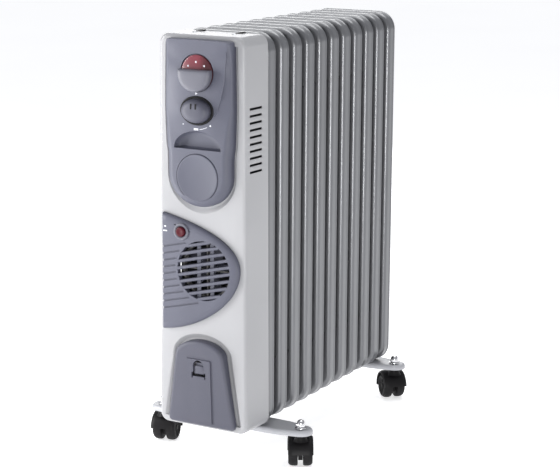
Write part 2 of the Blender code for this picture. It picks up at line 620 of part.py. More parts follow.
def caster(corner, place, yaw, mats):
    """Twin wheel caster: a hood with its stem, and two wheels on one axle behind it.

    The hood's origin is on the swivel axis, at the height of the axle.
    """
    wheel_y = CASTER_TRAIL
    half_width = 19.0
    outer, inner = 25.5, 21.6
    turns = [math.radians(a) for a in range(-10, 171, 30)]
    arc = [(outer * math.cos(a), outer * math.sin(a)) for a in turns]
    arc += [(inner * math.cos(a), inner * math.sin(a)) for a in reversed(turns)]
    hood = side_plate(f"caster_hood_{corner}", arc, -half_width, half_width, mats["black_plastic"])
    web = [(inner * 1.04 * math.cos(a), inner * 1.04 * math.sin(a)) for a in turns[:-1]]
    web += [(-9, -6), (9, -8)]
    pieces = [side_plate("web", web, -3.4, 3.4)]
    pieces.append(cylinder("boss", 8.5, 20.6, FOOT_TOP - 1.8 - GAP - WHEEL_RADIUS, centre=(0, -wheel_y, 0),
                           axis="Z", steps=12))
    pieces.append(cylinder("stem", 4.0, 22, FOOT_TOP - WHEEL_RADIUS + 4, centre=(0, -wheel_y, 0),
                           axis="Z", steps=8))
    pieces.append(cylinder("axle", AXLE_RADIUS, -half_width + 0.5, half_width - 0.5, axis="X", steps=12))
    join(hood, *pieces)
    hood.data.transform(Matrix.Translation((0, wheel_y * MM, 0)))
    turn = Matrix.Rotation(yaw, 4, "Z")
    stand = Matrix.Translation(Vector((place[0], place[1], WHEEL_RADIUS)) * MM) @ turn
    hood.matrix_world = stand

    for side, sign in (("left", -1), ("right", 1)):
        low, high = 4.0, 4.0 + WHEEL_WIDTH
        profile = [(AXLE_RADIUS + 0.06, low), (WHEEL_RADIUS, low), (WHEEL_RADIUS, high - 5),
                   (WHEEL_RADIUS - 2.5, high - 0.5), (AXLE_RADIUS + 0.06, high - 0.5)]
        profile = [(r, sign * h) for r, h in profile]
        wheel = turned(f"caster_wheel_{corner}_{side}", profile, mats["black_plastic"], axis="X", steps=20)
        wheel.matrix_world = stand @ Matrix.Translation((0, wheel_y * MM, 0))

    low = FOOT_TOP + GAP
    nut = [(4.3, low), (8.8, low), (8.8, low + 1.6), (6.4, low + 2.2), (6.4, low + 7), (4.2, low + 11),
           (0, low + 12.3), (0, low + 5.5), (4.3, low + 5.5)]
    nut_solid(f"acorn_nut_{corner}", nut, place, mats["chrome"])


def nut_solid(name, profile, place, mat):
    """Acorn nut with a blind hole for the stem; its profile runs from the hole's edge round to it."""
    bm = bmesh.new()
    verts = [bm.verts.new((r, 0, h)) for r, h in profile]
    edges = [bm.edges.new(pair) for pair in zip(verts, verts[1:]) if not (pair[0].co.x == pair[1].co.x == 0)]
    edges.append(bm.edges.new((verts[-1], verts[0])))
    bmesh.ops.spin(bm, geom=verts + edges, cent=(0, 0, 0), axis=(0, 0, 1), angle=2 * math.pi, steps=10,
                   use_duplicate=False)
    bm.transform(Matrix.Translation((place[0], place[1], 0)))
    finish(name, bm, mat)


def side_plate(name, outline, low, high, mat=None, soften=0.0):
    """Outline in Y and Z, extruded along X."""
    bm = bmesh.new()
    face = bm.faces.new([bm.verts.new((low, p[0], p[1])) for p in outline])
    result = bmesh.ops.extrude_face_region(bm, geom=[face])
    moved = [g for g in result["geom"] if isinstance(g, bmesh.types.BMVert)]
    bmesh.ops.translate(bm, verts=moved, vec=(high - low, 0, 0))
    return finish(name, bm, mat, soften or None)


# how far each caster is swivelled at rest, from trailing straight back
CASTER_YAW = {"front_right": 30.0, "front_left": 15.0, "rear_right": 45.0, "rear_left": -20.0}


def make_feet(mats):
    for row, place in (("front", FRONT_FOOT), ("rear", REAR_FOOT)):
        foot(f"foot_{row}", place["y"], place["reach"], place["bolt"], mats["housing_white"])
        u_bolt(f"u_bolt_{row}", place["y"] + place["bolt"], mats["zinc_steel"])
        for side, sign in (("left", -1), ("right", 1)):
            corner = f"{row}_{side}"
            caster(corner, (sign * place["reach"], place["y"]), math.radians(CASTER_YAW[corner]), mats)


def shade():
    for obj in PARTS.objects:
        obj.data.shade_smooth()
        obj.data.set_sharp_from_angle(angle=math.radians(35))


for existing in list(bpy.data.objects):
    bpy.data.objects.remove(existing)
PARTS = bpy.data.collections.new("oil_radiator")
bpy.context.scene.collection.children.link(PARTS)
MATERIALS = {key: material(key) for key in COLOURS}

make_fins(MATERIALS["fin_grey"])
make_housing(MATERIALS["housing_white"], MATERIALS["zinc_steel"])
make_panel(MATERIALS)
make_knobs(MATERIALS)
make_fan(MATERIALS)
make_cord_store(MATERIALS)
make_inside(MATERIALS)
make_feet(MATERIALS)
shade()
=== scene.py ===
# %% [markdown]
# # An oil filled radiator heater with a fan
# The measured model is loaded first. It has every part as a plain solid, in metres, with Z up and
# the controls facing -Y. This script gives each part the shape and finish of the real one.
# Sizes are written in millimetres, as on a drawing, and turned into metres when a piece is stored.

# %% Load the measured model
import json
from math import asin, atan2, copysign, cos, pi, radians, sin, sqrt, tan

import bmesh
import bpy
from mathutils import Matrix, Vector


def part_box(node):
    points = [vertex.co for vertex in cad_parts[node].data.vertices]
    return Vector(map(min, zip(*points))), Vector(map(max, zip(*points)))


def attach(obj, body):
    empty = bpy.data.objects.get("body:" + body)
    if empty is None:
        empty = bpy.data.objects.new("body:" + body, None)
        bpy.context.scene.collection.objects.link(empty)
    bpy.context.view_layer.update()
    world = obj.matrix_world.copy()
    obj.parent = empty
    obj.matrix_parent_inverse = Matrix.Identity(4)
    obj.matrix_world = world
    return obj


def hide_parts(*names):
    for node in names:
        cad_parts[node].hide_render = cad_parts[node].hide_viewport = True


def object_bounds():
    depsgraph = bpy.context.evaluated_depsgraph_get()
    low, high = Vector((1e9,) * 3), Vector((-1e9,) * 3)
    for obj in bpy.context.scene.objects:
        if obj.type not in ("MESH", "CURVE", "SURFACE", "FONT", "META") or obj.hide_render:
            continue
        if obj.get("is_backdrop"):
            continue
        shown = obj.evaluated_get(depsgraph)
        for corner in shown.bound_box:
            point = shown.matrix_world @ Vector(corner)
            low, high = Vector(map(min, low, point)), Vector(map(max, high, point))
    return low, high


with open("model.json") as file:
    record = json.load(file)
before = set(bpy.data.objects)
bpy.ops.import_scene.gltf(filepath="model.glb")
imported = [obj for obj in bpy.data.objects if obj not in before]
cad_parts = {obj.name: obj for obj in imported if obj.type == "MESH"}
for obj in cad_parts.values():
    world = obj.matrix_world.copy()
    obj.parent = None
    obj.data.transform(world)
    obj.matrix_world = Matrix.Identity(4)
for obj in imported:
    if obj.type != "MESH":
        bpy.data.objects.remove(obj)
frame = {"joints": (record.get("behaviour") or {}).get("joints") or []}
cad_low, cad_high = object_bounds()
MM = 0.001


def span(node):
    """Lowest and highest corner of a measured part, in millimetres."""
    low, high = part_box(node)
    return Vector(low) / MM, Vector(high) / MM


front, back = span("housing")[0].y, span("housing")[1].y
panel_face = span("control_panel")[0].y
first_fin = back + 2.4

# %% [markdown]
# ## Camera, light and floor
# A long lens from front right, a little above the top, shows the controls and the row of fins
# together. A tiny lens shift centres it, as in a product shot.
# The light is a pale room with four soft panels: a narrow upright one close by at front left, a
# low narrow strip at front right, a wide one behind on the left, and a wide one overhead.


# %% Camera
def in_scene(thing):
    bpy.context.scene.collection.objects.link(thing)


camera_data = bpy.data.cameras.new("camera")
camera_data.lens = 112.42
camera_data.sensor_width = 36
camera_data.shift_x, camera_data.shift_y = -0.001607, 0.001071
camera_data.clip_end = 100
camera = bpy.data.objects.new("camera", camera_data)
in_scene(camera)
stand = Vector((1.2956, -2.3181, 0.8894))
aim = Vector((-0.0411, 0.0692, 0.2948))
ahead = (aim - stand).normalized()
right = ahead.cross(Vector((0, 0, 1))).normalized()
up = right.cross(ahead)
roll = radians(0.34)
right, up = right * cos(roll) + up * sin(roll), up * cos(roll) - right * sin(roll)
camera.matrix_world = Matrix.Translation(stand) @ Matrix((right, up, -ahead)).transposed().to_4x4()
bpy.context.scene.camera = camera
print(f"camera {(aim - stand).length:.2f} m from the heater")


# %% Soft studio light
def soft_panel(name, place, size, power):
    lamp = bpy.data.lights.new(name, "AREA")
    lamp.shape = "RECTANGLE"
    lamp.size, lamp.size_y = size
    lamp.energy = power
    holder = bpy.data.objects.new(name, lamp)
    holder.location = place
    direction = Vector((0, 0, 0.33)) - Vector(place)
    holder.rotation_euler = direction.to_track_quat("-Z", "Y").to_euler()
    holder.visible_camera = False
    in_scene(holder)


soft_panel("key_light", (-0.72, -0.68, 0.45), (0.3, 0.9), 9.5)
soft_panel("strip_light", (0.95, -1.55, 0.3), (0.14, 0.6), 9.0)
soft_panel("rear_light", (-1.3, 2.2, 0.9), (1.4, 1.4), 16)
soft_panel("top_light", (0.1, 0.3, 2.4), (1.6, 1.6), 26)

world = bpy.data.worlds.new("room")
bpy.context.scene.world = world
world.use_nodes = True
world.node_tree.nodes["Background"].inputs[0].default_value = (0.93, 0.95, 1.0, 1)
world.node_tree.nodes["Background"].inputs[1].default_value = 0.42
bpy.context.scene.view_settings.view_transform = "Standard"


# %% [markdown]
# ## Finishes
# Each finish is a Principled shader whose colour and roughness, and mostly its bump, come from
# noise in Object coordinates, so nothing is one flat colour. Shader maths is easier to read as
# ordinary expressions, so a small class wraps a socket and adds Math nodes for +, - and *.
# Every other node comes from one method, which sets the node up first and then fills its sockets.

# %% Shader maths as expressions
class Signal:
    """A number that varies over a surface."""

    def __init__(self, finish, socket):
        self.finish, self.socket = finish, socket

    def maths(self, operation, *values):
        return self.finish.node("Math", {"operation": operation}, dict(enumerate(values)))

    def __add__(self, other):
        return self.maths("ADD", self, other)

    def __sub__(self, other):
        return self.maths("SUBTRACT", self, other)

    def __rsub__(self, other):
        return self.maths("SUBTRACT", other, self)

    def __mul__(self, other):
        return self.maths("MULTIPLY", self, other)

    __radd__, __rmul__ = __add__, __mul__


class Finish:
    """A material under construction, with its Principled shader."""

    def __init__(self, name, **constants):
        self.material = bpy.data.materials.new(name)
        self.material.use_nodes = True
        self.tree = self.material.node_tree
        self.shader = self.tree.nodes["Principled BSDF"]
        for socket, value in constants.items():
            title = socket.replace("_", " ").title().replace("Ior", "IOR")
            self.shader.inputs[title].default_value = value
        self.place = self.node("TexCoord", {}, {}, "Object")

    def node(self, kind, settings, inputs, output=0):
        node = self.tree.nodes.new("ShaderNode" + kind)
        for key, value in settings.items():
            setattr(node, key, value)
        for key, value in inputs.items():
            if isinstance(value, Signal):
                self.tree.links.new(value.socket, node.inputs[key])
            else:
                node.inputs[key].default_value = value
        return Signal(self, node.outputs[output])

    def noise(self, scale, detail=2.0, stretch=(1, 1, 1)):
        where = self.node("Mapping", {}, {"Vector": self.place, "Scale": stretch})
        return self.node("TexNoise", {}, {"Vector": where, "Scale": scale, "Detail": detail}, "Fac")

    def band(self, signal, low, high):
        """0 below low, 1 above high, smooth between."""
        return self.node("MapRange", {"interpolation_type": "SMOOTHSTEP"},
                         {"Value": signal, "From Min": low, "From Max": high})

    def mix(self, mask, first, second):
        colours = {0: mask, 6: first, 7: second}
        return self.node("Mix", {"data_type": "RGBA"}, colours, 2)

    def bump(self, height, distance, strength=0.5):
        return self.node("Bump", {}, {"Height": height, "Distance": distance, "Strength": strength})

    def set(self, **signals):
        for socket, signal in signals.items():
            self.tree.links.new(signal.socket, self.shader.inputs[socket.replace("_", " ").title()])
        return self.material


def rgb(red, green, blue):
    return (red, green, blue, 1)


# %% [markdown]
# The fins, the housing and the feet are sheet steel with a baked powder coat. Up close it has a
# fine orange peel, and its colour drifts a little. Above a given height, in metres, the colour turns
# a lighter grey and the coat rougher: on the fins that is their top edges. One recipe serves all three, in
# different colours.

# %% Painted steel
def powder_coat(name, light, dark, peel=0.00006, roughness=0.36, metallic=0.0, lighten_above=1.0):
    coat = Finish(name, coat_weight=0.3 + metallic, coat_roughness=0.2, metallic=metallic)
    drift = coat.noise(5.0, 3.0)
    specks = coat.band(coat.noise(900.0, 2.0), 0.62, 0.75)
    colour = coat.mix(coat.band(drift, 0.3, 0.7), light, dark)
    colour = coat.mix(specks * 0.18, colour, rgb(*[c * 0.72 for c in dark[:3]]))
    height = coat.node("SeparateXYZ", {}, {0: coat.place}, "Z")
    # Lighter grey and rougher above the given height: on the fins, their top edges.
    lighter_top = coat.band(height + drift * 0.004, lighten_above, lighten_above + 0.01)
    colour = coat.mix(lighter_top * 0.8, colour, rgb(0.36, 0.365, 0.375))
    ripple = coat.noise(420.0, 2.0)
    return coat.set(base_color=colour, roughness=roughness + drift * 0.12 + ripple * 0.05 + lighter_top * 0.25,
                    normal=coat.bump(ripple, peel, 0.35))


FIN_PAINT = powder_coat("fin_paint", rgb(0.17, 0.173, 0.183), rgb(0.15, 0.153, 0.163), peel=0.00002,
                        roughness=0.22, metallic=0.42, lighten_above=0.634)
HOUSING_PAINT = powder_coat("housing_paint", rgb(0.385, 0.385, 0.397), rgb(0.355, 0.355, 0.367))
FOOT_PAINT = powder_coat("foot_paint", rgb(0.46, 0.465, 0.49), rgb(0.42, 0.425, 0.45))
print("painted steel finishes:", FIN_PAINT.name, HOUSING_PAINT.name, FOOT_PAINT.name)


# %% [markdown]
# The control panel, the fan cover and the cord cover are moulded in one blue grey plastic with a
# spark eroded grain, finer than leather grain: small pits that scatter the light. Knobs are
# smoother. Flow in the mould leaves faint cloudy streaks.

# %% Moulded plastics
def moulded(name, light, dark, grain=0.00005, roughness=0.42, size=1300.0, **constants):
    plastic = Finish(name, **constants)
    cloud = plastic.noise(9.0, 4.0, (1, 1, 0.45))
    pits = plastic.noise(size, 2.0)
    colour = plastic.mix(plastic.band(cloud, 0.32, 0.68), light, dark)
    worn = rgb(*[min(1, c * 1.35) for c in light[:3]])
    colour = plastic.mix(plastic.band(pits, 0.5, 0.72) * 0.22, colour, worn)
    return plastic.set(base_color=colour, roughness=roughness + cloud * 0.1 + pits * 0.08,
                       normal=plastic.bump(pits, grain, 0.4))


PANEL_PLASTIC = moulded("panel_plastic", rgb(0.098, 0.101, 0.136), rgb(0.082, 0.085, 0.116))
COVER_PLASTIC = moulded("cover_plastic", rgb(0.078, 0.079, 0.107), rgb(0.066, 0.067, 0.092))
KNOB_PLASTIC = moulded("knob_plastic", rgb(0.13, 0.131, 0.16), rgb(0.112, 0.113, 0.14), 0.00002, 0.36)
BLACK_PLASTIC = moulded("black_plastic", rgb(0.006, 0.0055, 0.006), rgb(0.009, 0.008, 0.009),
                        0.00004, 0.38,
                       specular_ior_level=0.22)
TYRE_PLASTIC = moulded("tyre_plastic", rgb(0.007, 0.0065, 0.007), rgb(0.011, 0.01, 0.011), 0.00006,
                       0.5, 700.0,
                      specular_ior_level=0.22)
CREAM_PLASTIC = moulded("cream_plastic", rgb(0.62, 0.57, 0.45), rgb(0.55, 0.5, 0.4))
PALE_PLASTIC = moulded("pale_plastic", rgb(0.55, 0.55, 0.56), rgb(0.5, 0.5, 0.51))
RED_PLASTIC = moulded("red_plastic", rgb(0.085, 0.004, 0.011), rgb(0.055, 0.003, 0.008), 0.00002,
                      0.3, 900.0,
                      specular_ior_level=0.25)
# The fan heater's board is painted dark grey: painted shade inside the housing, seen through the outlet.
SHADE_DARK_MICA = moulded("mica", rgb(0.2, 0.195, 0.19), rgb(0.15, 0.145, 0.14), 0.0001, 0.6, 400.0)


# %% [markdown]
# The half window above the first knob is a red lens. Its left part is painted pink, a painted
# highlight where the light falls, and its right part is painted deep red as painted shade.

# %% Red lens, white print, bare metals
lens = Finish("red_lens", coat_weight=0.25, coat_roughness=0.05)
split = lens.node("SeparateXYZ", {}, {0: lens.place}, "X")
# Painted light: the lens colour splits along X, painted pink on the left as a painted highlight and deep red
# on the right as painted shade.
side = lens.band(split + lens.noise(160.0) * 0.006, 0.004, 0.02)
RED_LENS = lens.set(base_color=lens.mix(side, rgb(0.20, 0.045, 0.06), rgb(0.06, 0.004, 0.008)),
                    roughness=0.2 + side * 0.15)

ink = Finish("white_print")
wear = ink.band(ink.noise(1500.0), 0.35, 0.6)
WHITE_PRINT = ink.set(base_color=ink.mix(wear, rgb(0.55, 0.56, 0.62), rgb(0.85, 0.86, 0.9)),
                      roughness=0.45 + wear * 0.2)


def bare_metal(name, light, dark, roughness, grain, stretch):
    metal = Finish(name, metallic=1.0)
    scratches = metal.noise(700.0, 3.0, stretch)
    bloom = metal.noise(26.0, 3.0)
    colour = metal.mix(metal.band(bloom, 0.35, 0.7), light, dark)
    return metal.set(base_color=colour, roughness=roughness + bloom * 0.12 + scratches * 0.1,
                     normal=metal.bump(scratches, grain, 0.3))


CHROME = bare_metal("chrome", rgb(0.8, 0.8, 0.81), rgb(0.62, 0.62, 0.64), 0.04, 0.00001, (1, 1, 1))
ZINC = bare_metal("zinc_plate", rgb(0.62, 0.63, 0.65), rgb(0.48, 0.49, 0.5), 0.3, 0.00004, (1, 6, 0.3))
# This steel is painted far darker than bare steel: painted shade inside the housing, for the heat shield and
# the fan motor seen through the vents and the outlet.
SHADE_DARK_STEEL = bare_metal("shade_dark_steel", rgb(0.16, 0.16, 0.165), rgb(0.11, 0.11, 0.115), 0.4, 0.00004,
                        (1, 6, 0.3))
COPPER = bare_metal("copper_tube", rgb(0.7, 0.36, 0.2), rgb(0.5, 0.24, 0.13), 0.28, 0.00003, (1,
                                                                                              0.2, 1))
print("finishes made:", len(bpy.data.materials))

# %% [markdown]
# ## Helpers for shapes
# Most pieces start from an outline on the front plane. `traced` rounds its corners with a vertex
# bevel and gives back the points. `ring` puts such points into a mesh at a depth, and `skin`
# bridges rings into a wall, which is how a moulding with a soft edge is made: the same outline,
# a little smaller each time, a little further forward. `keep` stores the mesh in metres, with
# its place in the mesh itself, and says which measured part it stands for and which body it rides.


# %% Outline, ring and skin
def traced(corners, segments=8):
    """Points round an outline given as (x, z, tangent length) corners."""
    bm = bmesh.new()
    verts = [bm.verts.new((x, 0, z)) for x, z, _ in corners]
    bm.faces.new(verts)
    for vert, (_, _, length) in zip(verts, corners):
        if length:
            bmesh.ops.bevel(bm, geom=[vert], offset=length, segments=segments, profile=0.5,
                            affect="VERTICES", material=-1)
    bm.faces.ensure_lookup_table()
    points = [(v.co.x, v.co.z) for v in bm.faces[0].verts]
    bm.free()
    return points


def ring(bm, points, y):
    """A closed loop of edges through the points, at one depth or at a depth for each."""
    depths = y if isinstance(y, list) else [y] * len(points)
    verts = [bm.verts.new((x, depth, z)) for (x, z), depth in zip(points, depths)]
    return [bm.edges.new(pair) for pair in zip(verts, verts[1:] + verts[:1])]


def skin(bm, rings, cap_first=False, cap_last=False):
    for first, second in zip(rings, rings[1:]):
        bmesh.ops.bridge_loops(bm, edges=first + second)
    for wanted, loop in ((cap_first, rings[0]), (cap_last, rings[-1])):
        if wanted:
            bmesh.ops.contextual_create(bm, geom=loop)


def fill(bm, *loops):
    """Flat faces between an outer loop and the holes in it."""
    edges = [edge for loop in loops for edge in loop]
    bmesh.ops.triangle_fill(bm, edges=edges, use_beauty=True, use_dissolve=False)


def disc(x, z, radius, steps=48, squash=1.0):
    turns = [2 * pi * k / steps for k in range(steps)]
    return [(x + radius * cos(a), z + radius * squash * sin(a)) for a in turns]


def spun(bm, profile, steps=32, axis="Y", centre=(0, 0, 0)):
    """Spin a profile of (radius, height) points round an axis through the centre."""
    made = bmesh.new()
    verts = [made.verts.new((r, 0, h)) for r, h in profile]
    edges = [made.edges.new(pair) for pair in zip(verts, verts[1:])]
    bmesh.ops.spin(made, geom=verts + edges, cent=(0, 0, 0), axis=(0, 0, 1), angle=2 * pi,
                   steps=steps, use_merge=True)
    turn = {"X": Matrix.Rotation(pi / 2, 4, "Y"), "Y": Matrix.Rotation(-pi / 2, 4, "X"),
            "Z": Matrix.Identity(4)}[axis]
    made.transform(Matrix.Translation(centre) @ turn)
    add(bm, made)


def add(bm, other):
    """Move another mesh's shape into this one."""
    mesh = bpy.data.meshes.new("part")
    other.to_mesh(mesh)
    other.free()
    bm.from_mesh(mesh)
    bpy.data.meshes.remove(mesh)


def block(bm, low, high, turn=Matrix.Identity(4)):
    low, high = Vector(low), Vector(high)
    size = Matrix.Diagonal([*(high - low), 1])
    bmesh.ops.create_cube(bm, size=1, matrix=turn @ Matrix.Translation((low + high) / 2) @ size)


# %% Store a piece
made_pieces = []


def keep(name, bm, finish, nodes=(), body="radiator", wall=None, soften=None, sharp=40, flat=False):
    bmesh.ops.remove_doubles(bm, verts=bm.verts, dist=0.003)
    bmesh.ops.recalc_face_normals(bm, faces=bm.faces)
    bm.transform(Matrix.Scale(MM, 4))
    mesh = bpy.data.meshes.new(name)
    bm.to_mesh(mesh)
    bm.free()
    mesh.materials.append(finish)
    mesh.shade_smooth()
    mesh.set_sharp_from_angle(angle=radians(sharp))
    piece = bpy.data.objects.new(name, mesh)
    in_scene(piece)
    if wall:
        thick = piece.modifiers.new("wall", "SOLIDIFY")
        thick.thickness, thick.offset = wall * MM, -1
    if soften:
        edge = piece.modifiers.new("edge", "BEVEL")
        edge.width, edge.segments = soften * MM, 3
        edge.limit_method, edge.angle_limit = "ANGLE", radians(35)
        edge.harden_normals = True
    if flat:
        piece.modifiers.new("normals", "WEIGHTED_NORMAL").keep_sharp = True
    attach(piece, body)
    if nodes:
        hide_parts(*nodes)
    made_pieces.append(name)
    print(f"{name}: {len(mesh.polygons)} faces")
    return piece


# %% [markdown]
# ## Fins
# A fin is a steel pressing with its edge turned back and rolled into a bead, and it is the bead
# that draws the bright line down each fin. One long slot on each side lets warm air through. The
# sheet is one face with rounded corners. Its edge is extruded back in steps that follow the
# rolled section, cuts made with bisect_plane mark out the slots, a flap bent back behind each slot
# keeps light from coming straight through, and a Solidify modifier gives the sheet its thickness.

# %% One fin's sheet
FIN_LOW, FIN_HIGH, FIN_HALF, FIN_CORNER = 62.0, 642.0, 74.0, 27
FIN_PITCH, FIN_COUNT = 39.0, 11
FIN_SECTION = [(-7.5, 0.0), (-5.6, 0.3), (-3.6, 1.0), (-1.8, 2.1), (-0.6, 3.6), (0.0, 5.6), (0.0, 13.4),
               (0.5, 14.4), (1.1, 15.6), (1.1, 17.0), (0.5, 18.0), (-0.6, 18.2)]
SHEET = 1.1
SLOT_IN, SLOT_OUT, SLOT_LOW, SLOT_HIGH, SLOT_RISE = 55, 66, 156, 540, 1.54
FLAP = [(55, 0, 153), (55, 0, 544), (57.5, 2.2, 552), (57.5, 2.2, 149), (62.8, 11, 147), (62.8, 11,
                                                                                          564)]


def pushed_out(point, distance, half, low, high, corner):
    """Move a point on a rounded rectangle straight out from its outline."""
    x, z = point
    heart = Vector((max(-half + corner, min(half - corner, x)), max(low + corner, min(high - corner,
                                                                                      z))))
    away = Vector((x, z)) - heart
    return tuple(Vector((x, z)) + away.normalized() * distance)


def rounded(half_low, half_high, low, high, corner):
    """Corners of an upright shape, for `traced`, from its half widths at the bottom and the top."""
    return [(-half_low, low, corner), (half_low, low, corner), (half_high, high, corner),
            (-half_high, high, corner)]


def fin_sheet(bm, y):
    edge = traced(rounded(FIN_HALF, FIN_HALF, FIN_LOW, FIN_HIGH, FIN_CORNER), 10)
    loops = []
    for out, depth in FIN_SECTION:
        points = [pushed_out(p, out, FIN_HALF, FIN_LOW, FIN_HIGH, FIN_CORNER) for p in edge]
        loops.append(ring(bm, points, y + depth))
    skin(bm, loops)
    flat = list(bmesh.ops.contextual_create(bm, geom=loops[0])["faces"])
    for x in (-SLOT_OUT, -SLOT_IN, SLOT_IN, SLOT_OUT):
        flat = bisected(bm, flat, (x, 0, 0), (1, 0, 0))
    flat = bisected(bm, flat, (0, 0, SLOT_LOW), (0, 0, 1))
    for side in (-1, 1):
        half_flat = [f for f in flat if f.calc_center_median().x * side > SLOT_IN]
        rest = [f for f in flat if f.calc_center_median().x * side <= SLOT_IN]
        flat = rest + bisected(bm, half_flat, (side * 61.5, 0, 550), (side * -20, 0, 13))
    slots = []
    for face in flat:
        middle = face.calc_center_median()
        slot_top = SLOT_HIGH + (abs(middle.x) - SLOT_IN) * SLOT_RISE
        if SLOT_IN < abs(middle.x) < SLOT_OUT and SLOT_LOW < middle.z < slot_top:
            slots.append(face)
    bmesh.ops.delete(bm, geom=slots, context="FACES_ONLY")
    for side in (-1, 1):
        flap = [bm.verts.new((side * x, y + d, z)) for x, d, z in FLAP]
        bm.faces.new([flap[k] for k in (0, 1, 2, 3)])
        bm.faces.new([flap[k] for k in (3, 2, 5, 4)])


def bisected(bm, faces, co, no):
    """Cut the faces with a plane and give back all the pieces."""
    geom = faces + list({e for f in faces for e in f.edges}) + list({v for f in faces for v in f.verts})
    cut = bmesh.ops.bisect_plane(bm, geom=geom, plane_co=co, plane_no=no, dist=0.001)
    return [g for g in cut["geom"] if isinstance(g, bmesh.types.BMFace)]


# %% Eleven fins
fin_fronts = [first_fin + FIN_PITCH * k for k in range(FIN_COUNT)]
for number, y in enumerate(fin_fronts, 1):
    bm = bmesh.new()
    fin_sheet(bm, y)
    keep(f"fin_sheet_{number:02d}", bm, FIN_PAINT, [f"fin_{number:02d}"],
         wall=SHEET, sharp=30, flat=True)

# %% [markdown]
# Oil runs in channels pressed into the sheets, with a round header at the top and the bottom
# where one fin joins the next. Each channel is a long rounded outline that swells in a few
# insets, both ways from the sheet, and the headers are spun.

# %% Oil channels and headers
CHANNEL_X, CHANNEL_HALF, CHANNEL_LOW, CHANNEL_HIGH = 27, 19, 128, 576
HEADER_INSET = 52
FIRST_CAP = [(0, -3.9), (30, -3.9), (36, -1.5), (37, 0)]
LAST_CAP = [(37, 1.1), (36, 4), (30, 8), (22, 12), (0, 13)]
HEADER_JOINT = [(37, 1.1), (36, 4), (30, 8), (25, 9.5), (24, 12), (24, 27.8), (25, 30.4), (30,
                                                                                           33.4), (36, 37.4)]


def channel(outline, x, inward):
    """The channel's outline, drawn in about its own middle line at x."""
    size = (CHANNEL_HALF, CHANNEL_LOW, CHANNEL_HIGH, CHANNEL_HALF)
    moved = [pushed_out((px - x, pz), -inward, *size) for px, pz in outline]
    return [(x + px, pz) for px, pz in moved]


bm = bmesh.new()
for number, y in enumerate(fin_fronts, 1):
    for x in (-CHANNEL_X, CHANNEL_X):
        left, right = x - CHANNEL_HALF, x + CHANNEL_HALF
        long_round = traced([(left, CHANNEL_LOW, CHANNEL_HALF), (right, CHANNEL_LOW, CHANNEL_HALF),
                             (right, CHANNEL_HIGH, CHANNEL_HALF), (left, CHANNEL_HIGH,
                                                                   CHANNEL_HALF)], 6)
        for surface, rise in ((y, -1), (y + SHEET, 2.2)):
            steps = ((0, -0.3), (1.5, 0.9), (4.5, 2.6), (9, 3.4))
            loops = [ring(bm, channel(long_round, x, inward), surface + depth * rise)
                     for inward, depth in steps]
            skin(bm, loops, cap_last=True)
    for z in (FIN_LOW + HEADER_INSET, FIN_HIGH - HEADER_INSET):
        if number == 1:
            spun(bm, FIRST_CAP, 32, "Y", (0, y, z))
        spun(bm, LAST_CAP if number == FIN_COUNT else HEADER_JOINT, 32, "Y", (0, y, z))
keep("oil_channels", bm, FIN_PAINT, sharp=30)

# %% [markdown]
# ## Housing
# The control housing is a deep drawn steel box, open at the back. Rings run from its back edge
# forward and round a 5 mm front edge. The front has a pressed seat for the control panel and
# another for the cord cover, whose sloped edges catch the light as a halo. The flat front is
# filled between the edge and these outlines with triangle_fill, and weighted normals keep it
# looking flat.

# %% Outlines of the housing and its seats
HOUSE_LOW, HOUSE_HIGH, HOUSE_CORNER, HOUSE_EDGE = 65.0, 641.0, 14, 5
OUTLET_X, OUTLET_Z = 7, 304
DOOR_SHOULDER = 176


def half_width(z, y):
    """Half width of the housing, which narrows upwards and flares a little towards the back."""
    upward = (z - HOUSE_LOW) / (HOUSE_HIGH - HOUSE_LOW)
    return (74.5 - 4.0 * upward) * (1 + 3.0 / 70.5 * (y - front) / (back - front))


def housing_points(inward, y):
    low, high = half_width(HOUSE_LOW, y), half_width(HOUSE_HIGH, y)
    points = traced(rounded(low, high, HOUSE_LOW, HOUSE_HIGH, HOUSE_CORNER), 8)
    return [pushed_out((x, z), -inward, half_width(z, y), HOUSE_LOW, HOUSE_HIGH, HOUSE_CORNER)
            for x, z in points]


def mirrored(half):
    """Close a right half, given from the bottom middle up to the top middle."""
    return half + [(-x, z) for x, z in reversed(half) if x > 0.01]


def panel_outline(inward, side=0.0, below=0.0):
    """Control panel: nearly straight sides, a waist, and an elliptic bottom."""
    wide, deep = 52.2 - inward + side, 46.5 - inward + below
    turns = [radians(7.5 * k) for k in range(12)]
    half = [(wide * sin(a), 443 - deep * cos(a)) for a in turns]
    half += [(wide, 443), (wide, 462), (wide + 0.25, 473), (wide + 1.2, 479), (wide + 2.2, 485),
             (wide + 2.7, 494), (wide + 3.4, 515), (56.1 - inward + side, 540),
             (55.6 - inward + side, 575), (55.0 - inward + side, 605)]
    top = 635 - 0.12 * inward
    half += [(54.6 - inward + side, top - 4), (54.0 - inward + side, top - 1.2),
             (51.5 - inward + side, top)]
    half += [(30, top + 0.5), (0, top + 0.8)]
    return mirrored(half)


def arch_outline(outward):
    """Cord cover: a round top on straight sides that spread downwards."""
    half = [(0, 69 - 0.2 * outward), (40, 69 - 0.2 * outward)]
    half += [(52.5 + outward * 0.5, 69.2), (56.2 + outward * 0.8, 72), (56.6 + outward, 77)]
    half += [(49 + outward, 124), (42.5 + outward, 166), (41 + outward, DOOR_SHOULDER)]
    wide, tall = 41 + outward, 23 + outward
    turns = [radians(9 * k) for k in range(1, 11)]
    half += [(wide * cos(a), DOOR_SHOULDER + tall * sin(a)) for a in turns]
    half[-1] = (0, DOOR_SHOULDER + tall)
    return mirrored(half)


def between(first, second, shares):
    """Points part of the way from one outline to another."""
    return [(a + (c - a) * share, b + (d - b) * share)
            for (a, b), (c, d), share in zip(first, second, shares)]


